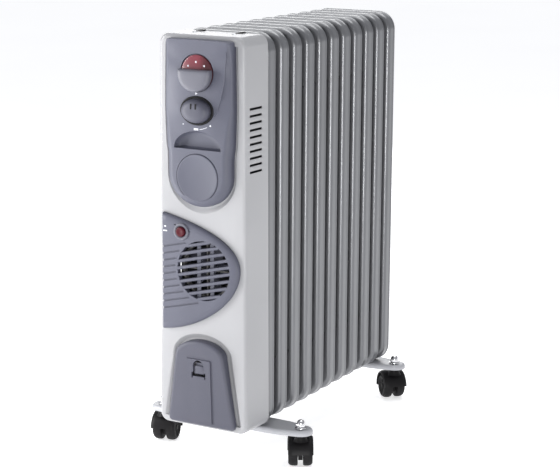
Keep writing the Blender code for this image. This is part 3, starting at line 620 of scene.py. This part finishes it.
# %% Housing shell
bm = bmesh.new()
loops = [ring(bm, housing_points(0, y), y) for y in (back, front + HOUSE_EDGE)]
for step in range(1, 7):
    a = radians(15 * step)
    y = front + HOUSE_EDGE - HOUSE_EDGE * sin(a)
    loops.append(ring(bm, housing_points(HOUSE_EDGE * (1 - cos(a)), y), y))
skin(bm, loops)

top_line = 628.0
seat_outer = [(x, min(z, top_line)) for x, z in panel_outline(0, 5.0, 10.5)]
seat_inner = [(x, min(z, top_line - 0.6)) for x, z in panel_outline(0, 1.2, 2.0)]
arch_outer = [(x, max(z, 75.5)) for x, z in arch_outline(9.0)]
arch_inner = [(x, max(z, 76.0)) for x, z in arch_outline(1.5)]
panel_seat = ring(bm, seat_outer, front)
cord_seat = ring(bm, arch_outer, front)
fan_hole = ring(bm, disc(OUTLET_X, OUTLET_Z, 45, 56), front)
fill(bm, loops[-1], panel_seat, cord_seat, fan_hole)
for outer, inner, seat, depth in ((seat_outer, seat_inner, panel_seat, 4.0),
                                  (arch_outer, arch_inner, cord_seat, 4.4)):
    rings = [seat]
    for share, sink in ((0.1, 0.12), (0.3, 0.35), (0.7, 0.85), (0.9, 0.98), (1.0, 1.0)):
        points = between(outer, inner, [share] * len(outer))
        rings.append(ring(bm, points, front + depth * sink))
    skin(bm, rings)
    if seat is panel_seat:
        bmesh.ops.contextual_create(bm, geom=rings[-1])
    else:
        hatch = ring(bm, [(-38, 82), (38, 82), (38, 172), (-38, 172)], front + depth)
        fill(bm, rings[-1], hatch)

bmesh.ops.remove_doubles(bm, verts=bm.verts, dist=0.003)
bmesh.ops.recalc_face_normals(bm, faces=bm.faces)
VENTS, VENT_LOW, VENT_PITCH, VENT_HALF = 10, 450, 10, 1.75
vent_front, vent_back = front + 12, front + 43.5
sides = [f for f in bm.faces if abs(f.normal.x) > 0.9 and f.calc_area() > 2000]
for row in range(VENTS):
    for edge in (-VENT_HALF, VENT_HALF):
        sides = bisected(bm, sides, (0, 0, VENT_LOW + VENT_PITCH * row + edge), (0, 0, 1))
for y in (vent_front, vent_back):
    sides = bisected(bm, sides, (0, y, 0), (0, 1, 0))
vents = []
for face in sides:
    middle = face.calc_center_median()
    row = (middle.z - VENT_LOW) / VENT_PITCH
    in_row = abs(row - round(row)) < 0.17 and 0 <= round(row) < VENTS
    if in_row and vent_front < middle.y < vent_back:
        vents.append(face)
print("vent slots:", len(vents))
bmesh.ops.delete(bm, geom=vents, context="FACES_ONLY")
keep("housing_shell", bm, HOUSING_PAINT, ["housing"], wall=1.4, flat=True)

# %% [markdown]
# Two sprung clips on top hold the housing to the first fin, each with a small dark screw.

# %% Top clips and screws
for name, x in (("left", -33.0), ("right", 33.0)):
    y, top = front + 35, HOUSE_HIGH
    bm = bmesh.new()
    spun(bm, [(0, top + 0.9), (2.0, top + 0.9), (3.3, top + 0.3), (3.6, top - 0.3), (1.6, top - 1),
              (1.6, top - 14), (0, top - 14)], 24, "Z", (x, y, 0))
    block(bm, (x - 2.6, y - 0.4, top + 0.5), (x + 2.6, y + 0.4, top + 1.0))
    keep(f"top_screw_head_{name}", bm, ZINC, [f"top_screw_{name}"])
    bm = bmesh.new()
    block(bm, (x - 5, back - 13, top - 0.4), (x + 5, back - 3, top + 0.8))
    block(bm, (x - 3.4, back - 5, top - 0.4), (x + 3.4, back + 1.6, top + 1.7))
    keep(f"top_clip_{name}", bm, BLACK_PLASTIC, soften=0.4)

# %% [markdown]
# ## Control panel
# The panel is a moulding with soft sides. Its rings climb from the seat and roll over into the
# face. Two creases open outwards from the scoop to the top corners, and the face falls back beside
# them: the parts inside and outside are filled separately, the edge between them is marked sharp,
# and a low ridge follows the right one. Circles for the knobs and the timer and the half moon of
# the finger scoop are left open in the fill, then sunk.

# %% Panel body
base = front - 0.3
PANEL_EDGE = [(0, 4.2), (0, -2.6), (0.5, -4.6), (1.8, -6.8), (4.0, -9.0), (6.6, -10.8), (9.4, -11.8),
              (11.2, -12.0)]
CREASE = [(27, 528), (33.0, 537), (38.9, 553), (44.6, 578), (46.9, 605), (48.2, 620)]
TIMER_Z, SCOOP_Z, THERMOSTAT_Z, SELECTOR_Z = 440, 480.5, 536, 589.5


def fall(z):
    """How far the face falls back at its edge, beside the creases."""
    return 4.5 * min(1.0, max(0.0, (z - 505) / 45)) * min(1.0, max(0.0, (634 - z) / 20))


bm = bmesh.new()
loops = []
upright = [min(1.0, max(0.0, (z - 500) / 40)) * 0.6 for _, z in panel_outline(0)]
for inward, rise in PANEL_EDGE:
    points = between(panel_outline(inward), panel_outline(0), upright)
    drop = max(0.0, -rise - 6) / 6
    loops.append(ring(bm, points, [base + rise + drop * fall(z) for _, z in points]))
skin(bm, loops)

crease = [(0, 514), (16, 519)] + CREASE + [(47.5, 629), (30, 630.5), (0, 631)]
crease_loop = ring(bm, mirrored(crease), panel_face)
turns = [radians(7.5 * k) for k in range(25)]
scoop = [(39 * cos(a), SCOOP_Z + 26.5 * sin(a)) for a in turns]
scoop_loop = ring(bm, scoop, panel_face)
timer_hole = disc(0, TIMER_Z, 34.9, 64)
timer_loop = ring(bm, timer_hole, panel_face)
fill(bm, loops[-1], crease_loop, scoop_loop, timer_loop)
selector_hole, knob_hole = disc(0, SELECTOR_Z, 27.4, 56), disc(0, THERMOSTAT_Z, 27.6, 56, 0.76)
selector_loop = ring(bm, selector_hole, panel_face)
knob_loop = ring(bm, knob_hole, panel_face)
fill(bm, crease_loop, selector_loop, knob_loop)
for edge in crease_loop:
    edge.smooth = False
for loop, points, sink in ((timer_loop, timer_hole, 2.0), (selector_loop, selector_hole, 2.4),
                           (knob_loop, knob_hole, 2.0)):
    skin(bm, [loop, ring(bm, points, panel_face + sink)], cap_last=True)

bowl = [scoop_loop]
middle = SCOOP_Z + 3.0
for inward, depth in ((0.2, 1.0), (0.6, 3.6), (1.6, 7.0), (4.5, 9.6), (9, 10.8), (16, 11.2)):
    shrink = 1 - inward / 39
    sill = SCOOP_Z + min(3, inward * 0.25)
    points = [(x * shrink, middle + (z - middle) * shrink if z > 481 else sill) for x, z in scoop]
    bowl.append(ring(bm, points, panel_face + depth))
skin(bm, bowl, cap_last=True)

loops = []
for half, rise in ((1.0, 0.3), (0.8, -0.6), (0.3, -1.0)):
    points = [(x - half, z) for x, z in CREASE] + [(x + half, z) for x, z in reversed(CREASE)]
    loops.append(ring(bm, points, panel_face + rise))
skin(bm, loops, cap_last=True)
keep("panel_moulding", bm, PANEL_PLASTIC, ["control_panel"], sharp=38,
     flat=True)

# %% Timer disc, lens and thermostat ring
bm = bmesh.new()
spun(bm, [(0, -0.5), (31, -0.5), (32.4, -0.9), (33.4, -0.8), (34.0, -0.2), (34.0, 1.9)], 72, "Y",
     (0, panel_face, TIMER_Z))
keep("timer_disc", bm, PANEL_PLASTIC, ["timer_cap"], sharp=50)
bm = bmesh.new()
spun(bm, [(0, -0.6), (23.8, -0.6), (25.2, -0.2), (25.6, 0.6), (25.6, 2.3)], 56, "Y")
bm.transform(Matrix.Translation((0, panel_face, SELECTOR_Z)))
keep("lens_disc", bm, RED_LENS, ["selector_lens", "pilot_lamp"], sharp=50)
# The ring round the thermostat knob is black: painted shade of the gap between the knob and the panel.
bm = bmesh.new()
gap_shade_ring = [ring(bm, disc(0, THERMOSTAT_Z, r, 56, 0.752), panel_face + d) for r, d in
              ((27.3, 1.8), (27.3, -0.7), (26.8, -1.2), (25.6, -1.4), (24.0, -1.0), (23.7, 1.8))]
skin(bm, gap_shade_ring)
keep("thermostat_gap_shade_ring", bm, BLACK_PLASTIC, ["thermostat_ring"])

# %% [markdown]
# ## Knobs
# The first knob is the lower part of a disc, so the lens shows above it in every setting. Both
# knobs are domes: the outline steps inwards as it comes forward. Each rides on its own body and
# turns on its shaft, and the two black marks on the thermostat knob, painted shade of its pointer slots,
# ride with it.


# %% Domed knobs
def dome(bm, points, centre, steps, y):
    """Rings that shrink towards the centre as they come forward."""
    cx, cz = centre
    loops = []
    for inward, depth in steps:
        shrink = 1 - inward / 26
        moved = [(cx + (x - cx) * shrink, cz + (z - cz) * shrink) for x, z in points]
        loops.append(ring(bm, moved, y + depth))
    skin(bm, loops, cap_first=True, cap_last=True)


cut_height, knob_radius = 5.0, 26.4
end = asin(cut_height / knob_radius)
arc = [pi - end + (pi + 2 * end) * k / 40 for k in range(41)]
half_disc = [(knob_radius * cos(a), SELECTOR_Z + knob_radius * sin(a)) for a in arc]
half_disc += [(x, SELECTOR_Z + cut_height) for x in (18, 9, 0, -9, -18)]
bm = bmesh.new()
dome(bm, half_disc, (0, 583), [(0.3, -1.0), (0, -1.6), (0, -8.2), (0.4, -9.8), (1.4, -11.2),
                               (3.2, -12.3), (6, -12.9), (11, -13.2), (18, -13.3)], panel_face)
block(bm, (-4, panel_face - 2, 585.5), (4, panel_face + 14, 593.5))
keep("selector_dome", bm, KNOB_PLASTIC, ["selector_knob"], "selector_knob", sharp=42)

bm = bmesh.new()
dome(bm, disc(0, THERMOSTAT_Z, 23.1, 56, 0.75), (0, THERMOSTAT_Z),
     [(0.4, -1.7), (0, -2.2), (0.3, -4.2), (1.1, -6.6), (2.6, -8.8), (4.8, -10.6), (8, -12.1),
      (12, -12.9), (18, -13.2)], panel_face)
spun(bm, [(0, -2), (4, -2), (4, 13), (0, 13)], 20, "Y", (0, panel_face, THERMOSTAT_Z))
keep("thermostat_dome", bm, COVER_PLASTIC, ["thermostat_knob"], "thermostat_knob",
     sharp=42)
bm = bmesh.new()
# Two black marks on the knob's face stand for its two pointer slots: painted shade of the slots.
for x in (-2.2, 5.4):
    mark = traced([(x - 1.2, 539.5, 1.1), (x + 1.2, 539.5, 1.1), (x + 1.2, 547.5, 1.1),
                   (x - 1.2, 547.5, 1.1)], 4)
    depths = [panel_face - 13.0 - (548 - z) * 0.045 for _, z in mark]
    skin(bm, [ring(bm, mark, panel_face - 11.6), ring(bm, mark, depths)], cap_first=True, cap_last=True)
keep("thermostat_slot_shade", bm, BLACK_PLASTIC, body="thermostat_knob")

# %% [markdown]
# The prints are a hair thick, so that they never flicker against the face: settings round the
# knobs, and dots on the lens. There is no lettering.


# %% Prints
def print_disc(bm, x, z, radius, y, squash=1.0, steps=20):
    points = disc(x, z, radius, steps, squash)
    skin(bm, [ring(bm, points, y), ring(bm, points, y - 0.12)], cap_last=True)


bm = bmesh.new()
for x, z, radius in ((-14.0, 598.6, 1.3), (-1.0, 604.8, 1.5), (12.6, 599.8, 1.5)):
    print_disc(bm, x, z, radius, panel_face - 0.55)
keep("lens_prints", bm, WHITE_PRINT)
bm = bmesh.new()
print_disc(bm, -1.2, 560.3, 2.2, panel_face - 0.02, 1.0, 3)
print_disc(bm, 22.0, 516.0, 1.3, panel_face)
print_disc(bm, -23.0, 515.5, 0.8, panel_face + 0.1)
block(bm, (-5.2, panel_face - 0.12, 508.2), (2.0, panel_face + 0.2, 511.0))
sweep = [radians(-82 + 24 * k / 10) for k in range(11)]
line = [(30.4 * cos(a), THERMOSTAT_Z + 26.2 * sin(a)) for a in sweep]
line += [(31.0 * cos(a), THERMOSTAT_Z + 26.9 * sin(a)) for a in reversed(sweep)]
skin(bm, [ring(bm, line, panel_face + 0.2), ring(bm, line, panel_face - 0.06)], cap_last=True)
keep("panel_prints", bm, WHITE_PRINT)

# %% [markdown]
# ## Fan cover
# A sail shaped moulding in the same plastic. Its face rolls over at the edge and is left open at
# the round outlet. Nine slats cross the outlet at a slant, two struts hold them from behind, and
# grooves carry the slats' lines on to the left edge, each ending in a small notch.


# %% Fan cover body
def curve_points(first, first_handle, last_handle, last, steps):
    points = []
    for k in range(steps + 1):
        t = k / steps
        q = (first * (1 - t)**3 + first_handle * 3 * t * (1 - t)**2 + last_handle * 3 * t * t * (1 - t)
             + last * t**3)
        points.append((q.x, q.y))
    return points


def sail(inward):
    """Fan cover outline: two Bezier curves from the straight left edge to the tip on the right."""
    left, right = -64 + inward * 0.25, 64.5 - inward
    tip = Vector((right, 308))
    high, low = Vector((left, 383 - inward * 0.95)), Vector((left, 209 + inward * 0.9))
    top = curve_points(high, Vector((-10, 372 - inward)), Vector((right, 352 - inward * 0.4)), tip, 22)
    bottom = curve_points(tip, Vector((right, 262 + inward * 0.4)), Vector((0, 215 + inward)), low, 22)
    return top[:-1] + bottom


cover_face = front - 8.3
BUTTON_X, BUTTON_Z = -29.8, 358.3
slant = radians(13.6)
along_slats = Matrix.Translation((OUTLET_X, 0, OUTLET_Z)) @ Matrix.Rotation(-slant, 4, "Y")
bm = bmesh.new()
loops = [ring(bm, sail(inward), base - rise) for inward, rise in
         ((0, 0), (0, 2.6), (0.5, 4.0), (1.6, 5.4), (3.4, 6.5), (6, 7.3), (9.5, 7.8), (12, 8.0))]
skin(bm, loops)
outlet = ring(bm, disc(OUTLET_X, OUTLET_Z, 44, 72), cover_face)
seat = ring(bm, disc(BUTTON_X, BUTTON_Z, 12.6, 40), cover_face)
fill(bm, loops[-1], outlet, seat)
outlet_back = ring(bm, disc(OUTLET_X, OUTLET_Z, 43.6, 72), base)
seat_back = ring(bm, disc(BUTTON_X, BUTTON_Z, 10.4, 40), base)
skin(bm, [outlet, ring(bm, disc(OUTLET_X, OUTLET_Z, 43.6, 72), cover_face + 0.8), outlet_back])
skin(bm, [seat, ring(bm, disc(BUTTON_X, BUTTON_Z, 12.6, 40), cover_face + 1.2),
          ring(bm, disc(BUTTON_X, BUTTON_Z, 10.4, 40), cover_face + 1.4), seat_back])
fill(bm, loops[0], outlet_back, seat_back)
cover = keep("fan_cover_moulding", bm, PANEL_PLASTIC, ["fan_cover"],
             sharp=38, flat=True)

# %% [markdown]
# The grooves are cut with a Boolean, because they cross the rolled edge and the flat face alike.


# %% Grooves
def carved(piece, cutter_mesh):
    """Cut the shape out of a finished piece and keep its material."""
    cutter_mesh.transform(Matrix.Scale(MM, 4))
    bmesh.ops.recalc_face_normals(cutter_mesh, faces=cutter_mesh.faces)
    mesh = bpy.data.meshes.new("cutter")
    cutter_mesh.to_mesh(mesh)
    cutter_mesh.free()
    cutter = bpy.data.objects.new("cutter", mesh)
    in_scene(cutter)
    for old in list(piece.modifiers):
        if old.type == "WEIGHTED_NORMAL":
            piece.modifiers.remove(old)
    cut = piece.modifiers.new("cut", "BOOLEAN")
    cut.operation, cut.object, cut.solver, cut.use_self = "DIFFERENCE", cutter, "EXACT", True
    graph = bpy.context.evaluated_depsgraph_get()
    graph.update()
    result = bpy.data.meshes.new_from_object(piece.evaluated_get(graph))
    piece.modifiers.clear()
    piece.data = result
    result.set_sharp_from_angle(angle=radians(38))
    bpy.data.objects.remove(cutter)
    piece.modifiers.new("normals", "WEIGHTED_NORMAL").keep_sharp = True
    print(piece.name, "carved:", len(result.polygons), "faces")


SLAT_PITCH = 9.9
bm = bmesh.new()
left = -62.5
for row in range(10):
    offset = SLAT_PITCH * (row - 4.5)
    reach = sqrt(max(0.0, 49.5**2 - offset**2))
    block(bm, (-92, cover_face - 3, offset - 1.3),
          (-max(reach, 8) + 2.0, cover_face + 1.9, offset + 1.3), along_slats)
    z = OUTLET_Z + offset / cos(slant) + (left - OUTLET_X) * tan(slant)
    spun(bm, [(0, -14), (2.2, -14), (2.2, 14), (0, 14)], 12, "Y", (left - 1.4, base - 2, z))
carved(cover, bm)

# %% Slats and struts
SLAT_SECTION = [(0.0, 2.2), (-1.3, 1.7), (-1.7, 0.2), (-1.3, -1.8), (0.0, -2.6), (3.2, -2.6), (4.0,
                                                                                               2.2)]
bm = bmesh.new()
for row in range(-4, 5):
    offset = SLAT_PITCH * row
    half = sqrt(44.3**2 - offset**2)
    made = bmesh.new()
    ends = []
    for x in (-half, half):
        verts = [made.verts.new((x, cover_face + 1.6 + d, offset + h)) for d, h in SLAT_SECTION]
        ends.append([made.edges.new(pair) for pair in zip(verts, verts[1:] + verts[:1])])
    skin(made, ends, cap_first=True, cap_last=True)
    made.transform(along_slats)
    add(bm, made)
keep("outlet_slats", bm, PANEL_PLASTIC, sharp=50)
bm = bmesh.new()
for x in (-3.5, 18.4):
    reach = sqrt(43.8**2 - (x - OUTLET_X)**2)
    block(bm, (x - 3.2, cover_face + 5.6, OUTLET_Z - reach), (x + 3.2, cover_face + 7.8,
                                                              OUTLET_Z + reach))
keep("outlet_struts", bm, PANEL_PLASTIC, soften=0.5)

# %% Button and its bezel
bm = bmesh.new()
spun(bm, [(7.7, 3.0), (7.7, -0.2), (8.3, -1.4), (9.4, -2.2), (11.2, -2.2), (12.3, -1.6), (12.6, -0.4),
          (12.6, 1.2)], 48, "Y", (BUTTON_X, cover_face, BUTTON_Z))
keep("button_surround", bm, KNOB_PLASTIC, ["button_bezel"], sharp=50)
bm = bmesh.new()
spun(bm, [(0, -4.4), (3.5, -4.5), (5.4, -4.9), (6.6, -4.6), (7.2, -3.4), (7.3, 9), (4, 9), (4, 16),
          (0, 16)], 40, "Y", (BUTTON_X, cover_face, BUTTON_Z))
keep("button_cap", bm, RED_PLASTIC, ["fan_button"], "fan_button", sharp=50)
bm = bmesh.new()
for z, wide in ((363.5, 1.6), (357.0, 3.2)):
    block(bm, (-57.5 - wide, cover_face - 0.1, z - 0.9), (-57.5 + wide, cover_face + 0.4, z + 0.9))
keep("button_prints", bm, WHITE_PRINT)

# %% [markdown]
# ## Cord cover
# A door with a round top, hinged at its lower edge, over the space where the cord is wound. A
# shallow strip runs down its middle, and the latch is a tab in a slot below a half round finger
# hole.


# %% Cord cover
def lean(z):
    """How far the door's front steps back towards its foot."""
    return 0.055 * (DOOR_SHOULDER - z)


bm = bmesh.new()
door_base = base + 2.4
tall_face = base - 11.0
loops = []
for inward, rise in ((0, 0), (0, 9.2), (0.4, 10.6), (1.4, 12.0), (3.0, 12.9), (5.0, 13.3), (6.5, 13.4)):
    points = [(x * (1 - inward / 56), 134 + (z - 134) * (1 - inward / 65)) for x, z in arch_outline(0)]
    depths = [door_base - rise + lean(min(DOOR_SHOULDER, z)) * (rise > 5) for _, z in points]
    loops.append(ring(bm, points, depths))
skin(bm, loops)
strip = mirrored([(0, 75.5), (20.4, 75.5), (20.4, 171.4), (19.6, 172.4), (0, 172.4)])
strip_loop = ring(bm, strip, [tall_face + lean(z) for _, z in strip])
fill(bm, loops[-1], strip_loop)
raised = [(x * 0.975, 124 + (z - 124) * 0.992) for x, z in strip]
raised_loop = ring(bm, raised, [tall_face - 1.8 + lean(z) for _, z in raised])
skin(bm, [strip_loop, raised_loop])
turns = [radians(15 * k) for k in range(13)]
slot_outline = [(9 * cos(a), 161.5 + 9.5 * sin(a)) for a in turns]
slot_outline += [(-9, 152.5), (-11.8, 152.2), (-11.8, 143.2), (-9.9, 143.2), (-9.9, 146.2),
                 (9.9, 146.2), (9.9, 143.2), (11.8, 143.2), (11.8, 152.2), (9, 152.5)]
slot_loop = ring(bm, slot_outline, [tall_face - 1.8 + lean(z) for _, z in slot_outline])
fill(bm, raised_loop, slot_loop)
skin(bm, [slot_loop, ring(bm, slot_outline, tall_face + 3.4)])
inside = [(x * 0.9, 134 + (z - 134) * 0.94) for x, z in arch_outline(0)]
skin(bm, [loops[0], ring(bm, inside, door_base - 0.1), ring(bm, inside, tall_face + 9.5)])
keep("cord_door", bm, COVER_PLASTIC, ["cord_cover"], "cord_cover", sharp=35, flat=True)

bm = bmesh.new()
inner_plate = [(x * 0.88, 134 + (z - 134) * 0.92) for x, z in arch_outline(0)]
plate_loop = ring(bm, inner_plate, tall_face + 9.6)
skin(bm, [plate_loop, ring(bm, inner_plate, tall_face + 7.5)])
keep("cord_door_lining", bm, COVER_PLASTIC, body="cord_cover", wall=1.0)

# %% Latch
bm = bmesh.new()
tab = [(8.3, 160.6), (7.4, 161.8), (0, 162.4), (-7.4, 161.8), (-8.3, 160.6)]
tab += [(-8.3, 150), (-7.4, 149.6), (7.4, 149.6), (8.3, 150)]
loops = []
for inward, depth in ((0, 2.6), (0, -0.4), (0.3, -0.9), (0.9, -1.2)):
    points = [(x * (1 - inward / 8.3), 156 + (z - 156) * (1 - inward / 8)) for x, z in tab]
    loops.append(ring(bm, points, [tall_face + 1.4 + depth + lean(z) for _, z in tab]))
skin(bm, loops, cap_first=True, cap_last=True)
block(bm, (-5.5, tall_face + 3.2, 151), (5.5, tall_face + 6, 166.4))
block(bm, (-5.5, tall_face + 4, 163.6), (5.5, front + 6.6, 166.4))
keep("latch_tab", bm, COVER_PLASTIC, ["cover_latch"], "cover_latch", sharp=35)

# %% [markdown]
# ## Feet and casters
# Each foot is a pressed steel cross plate with its edge turned down, held to the header by a U
# bolt. A caster hangs at each end under a bright acorn nut. Its two wheels share an axle under a
# rounded hood, and everything swivels round the stem.


# %% Feet
def foot_plate(name, node, reach, y):
    top = 61.7
    half = [(0, -25), (reach - 52, -25), (reach - 30, -24)]
    turns = [radians(-78 + 13 * k) for k in range(13)]
    half += [(reach + 18 * cos(a), 18 * sin(a)) for a in turns]
    half += [(reach - 30, 24), (reach - 52, 25), (0, 25)]
    bm = bmesh.new()
    loops = []
    for inward, down in ((0, 8), (0, 4.2), (0.5, 2.4), (1.8, 0.8), (3.8, 0.1), (5.5, 0.2), (8.0, 1.0)):
        verts = []
        for x, depth in mirrored(half):
            if abs(x) > reach - 31:
                x -= copysign(min(abs(x), inward), x)
            verts.append(bm.verts.new((x, y + depth * (1 - inward / 25), top - down)))
        loops.append([bm.edges.new(pair) for pair in zip(verts, verts[1:] + verts[:1])])
    skin(bm, loops, cap_last=True)
    keep(name, bm, FOOT_PAINT, [node], wall=1.6, flat=True)


corner_stems = {}
for row in ("front", "rear"):
    low, high = span(f"foot_{row}")
    reach, y = high.x - 19, (low.y + high.y) / 2
    foot_plate(f"foot_plate_{row}", f"foot_{row}", reach, y)
    for side, sign in (("left", -1), ("right", 1)):
        corner_stems[f"{row}_{side}"] = (sign * reach, y)
print("stems at", {k: (round(x), round(y)) for k, (x, y) in corner_stems.items()})

# %% [markdown]
# A wheel is spun from its section: a tyre with rounded shoulders, a shallow dish and a hub cap.
# The measured joints give each axle's direction, so the wheels face the way the caster stands.

# %% Casters
axles = {joint["child"]: joint for joint in frame["joints"] if joint["name"].startswith("roll_")}
WHEEL_OUT = [(0, 17.2), (3.2, 17.2), (3.8, 16.6), (4.2, 15.4), (9.5, 15.0), (12.6, 16.4), (14.4, 17.9),
             (16.2, 18.0), (18.2, 16.6), (19.4, 14.2), (19.95, 11.5), (19.95, 6.6), (19.4, 4.6),
             (18.6, 4.1), (8, 4.1), (3.1, 4.1), (3.1, 16.4), (0, 16.4)]
HOOD_OUT = [(-19.0, 21.6), (-19.0, 22.6), (-18.2, 24.2), (-16, 25.4), (-12, 25.9), (0, 26.1), (12,
                                                                                               25.9),
            (16, 25.4), (18.2, 24.2), (19.0, 22.6), (19.0, 21.6), (15, 21.3), (0, 21.3), (-15, 21.3)]
HOOD_NECK = [(0, 33.4), (6.6, 33.4), (7.4, 32.6), (8.4, 27.5), (9.8, 24.5), (11.5, 22), (0, 21.4)]
NUT_SEAT = 62.0
NUT_COLLAR = [(3, 0), (8.4, 0), (8.8, 0.4), (8.7, 1.0), (7.4, 1.6), (6.6, 1.7)]
NUT_CAP = [(6.3, 6.0), (6.2, 7.2), (5.7, 9.2), (4.6, 11), (2.6, 12.3), (0, 12.8)]
for corner, (x, y) in corner_stems.items():
    joint = axles[f"caster_wheel_{corner}_right"]
    axis = Vector(joint["axis"])
    middle = Vector(joint["pos_m"]) / MM
    turn = atan2(axis.y, axis.x)
    place = Matrix.Translation((middle.x, middle.y, middle.z)) @ Matrix.Rotation(turn, 4, "Z")
    for side, sign in (("left", -1), ("right", 1)):
        bm = bmesh.new()
        spun(bm, [(r, sign * h) for r, h in WHEEL_OUT], 40, "X")
        for k in range(5):
            blade = Matrix.Rotation(2 * pi * k / 5, 4, "X")
            low, high = sorted((sign * 15.2, sign * 16.1))
            block(bm, (low, 5.5, -0.7), (high, 12.0, 0.7), blade)
        bm.transform(place)
        node = f"caster_wheel_{corner}_{side}"
        keep(f"wheel_{corner}_{side}", bm, TYRE_PLASTIC, [node], node, sharp=35)

    bm = bmesh.new()
    rows = []
    for across, radius in HOOD_OUT:
        verts = []
        for k in range(21):
            a = radians(-12 + 184 * k / 20)
            verts.append(bm.verts.new((across, radius * cos(a), radius * sin(a))))
        rows.append([bm.edges.new(pair) for pair in zip(verts, verts[1:])])
    for first, second in zip(rows, rows[1:] + rows[:1]):
        bmesh.ops.bridge_loops(bm, edges=first + second)
    bmesh.ops.holes_fill(bm, edges=[e for e in bm.edges if e.is_boundary], sides=0)
    trail = (Vector((x, y, 0)) - Vector((middle.x, middle.y, 0))).length
    spun(bm, HOOD_NECK, 28, "Z", (0, -trail, 0))
    spun(bm, [(0, 45), (4, 45), (4, 20), (0, 20)], 20, "Z", (0, -trail, 0))
    block(bm, (-3.3, -10, -9), (3.3, 10, 22))
    spun(bm, [(0, -16.2), (2.9, -16.2), (2.9, 16.2), (0, 16.2)], 16, "X")
    bm.transform(place)
    node = f"caster_hood_{corner}"
    keep(f"hood_{corner}", bm, BLACK_PLASTIC, [node], node)

    bm = bmesh.new()
    spun(bm, [(r, NUT_SEAT + h) for r, h in NUT_COLLAR], 36, "Z", (x, y, 0))
    made = bmesh.new()
    bmesh.ops.create_cone(made, cap_ends=True, segments=6, radius1=7.3, radius2=7.3, depth=5)
    bmesh.ops.bevel(made, geom=list(made.edges), offset=0.5, segments=2, profile=0.5, affect="EDGES",
                    material=-1)
    made.transform(Matrix.Translation((x, y, NUT_SEAT + 4.0)) @ Matrix.Rotation(0.3, 4, "Z"))
    add(bm, made)
    spun(bm, [(r, NUT_SEAT + h) for r, h in NUT_CAP], 36, "Z", (x, y, 0))
    keep(f"acorn_{corner}", bm, CHROME, [f"acorn_nut_{corner}"], sharp=50)

# %% [markdown]
# ## Parts that keep their measured shape
# The parts inside the housing, the heating element and the U bolts keep their solids and get
# finishes of their own. They show through the vents, the outlet and the open cord cover. The heat
# shield, the fan motor and the fan heater are painted dark, as painted shade inside the housing.

# %% Finishes for the inside
INSIDE = {
    "heat_shield": SHADE_DARK_STEEL, "fan_motor": SHADE_DARK_STEEL, "element_flange": ZINC, "u_bolt_front": ZINC,
    "u_bolt_rear": ZINC, "heating_element": COPPER, "fan_heater": SHADE_DARK_MICA, "fan_impeller": COVER_PLASTIC,
    "cable_gland": BLACK_PLASTIC, "thermal_cutout": BLACK_PLASTIC, "tilt_switch": BLACK_PLASTIC,
    "selector_switch": CREAM_PLASTIC,
    "thermostat_body": CREAM_PLASTIC, "terminal_block": CREAM_PLASTIC, "cord_tray": PALE_PLASTIC,
}
for node, finish in INSIDE.items():
    for own in bpy.data.objects[node].material_slots:
        own.material = finish
print(len(INSIDE), "inner parts finished,", len(made_pieces), "pieces made")

# %% [markdown]
# ## Floor
# A wide pale floor glows a little, so that it stays nearly white round the heater.

# %% Floor
floor_finish = Finish("floor_pale", emission_strength=0.66)
tone = floor_finish.noise(1.5, 2.0)
pale = floor_finish.mix(tone, rgb(0.9, 0.9, 0.905), rgb(0.93, 0.93, 0.93))
floor_finish.set(base_color=pale, emission_color=pale, roughness=0.7 + tone * 0.1)
bm = bmesh.new()
bmesh.ops.create_grid(bm, x_segments=1, y_segments=1, size=30)
floor_mesh = bpy.data.meshes.new("floor")
bm.to_mesh(floor_mesh)
bm.free()
floor_mesh.materials.append(floor_finish.material)
floor = bpy.data.objects.new("floor", floor_mesh)
floor.location.z = -0.0005
in_scene(floor)
floor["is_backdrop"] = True

# %% [markdown]
# The boxes of the measured model and of the finished one are kept side by side, to show how little
# the sizes differ.

# %% Sizes
low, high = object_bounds()
apart = [abs(a - b) for a, b in zip([*cad_low, *cad_high], [*low, *high])]
print("largest difference, mm:", round(max(apart) / MM, 1))
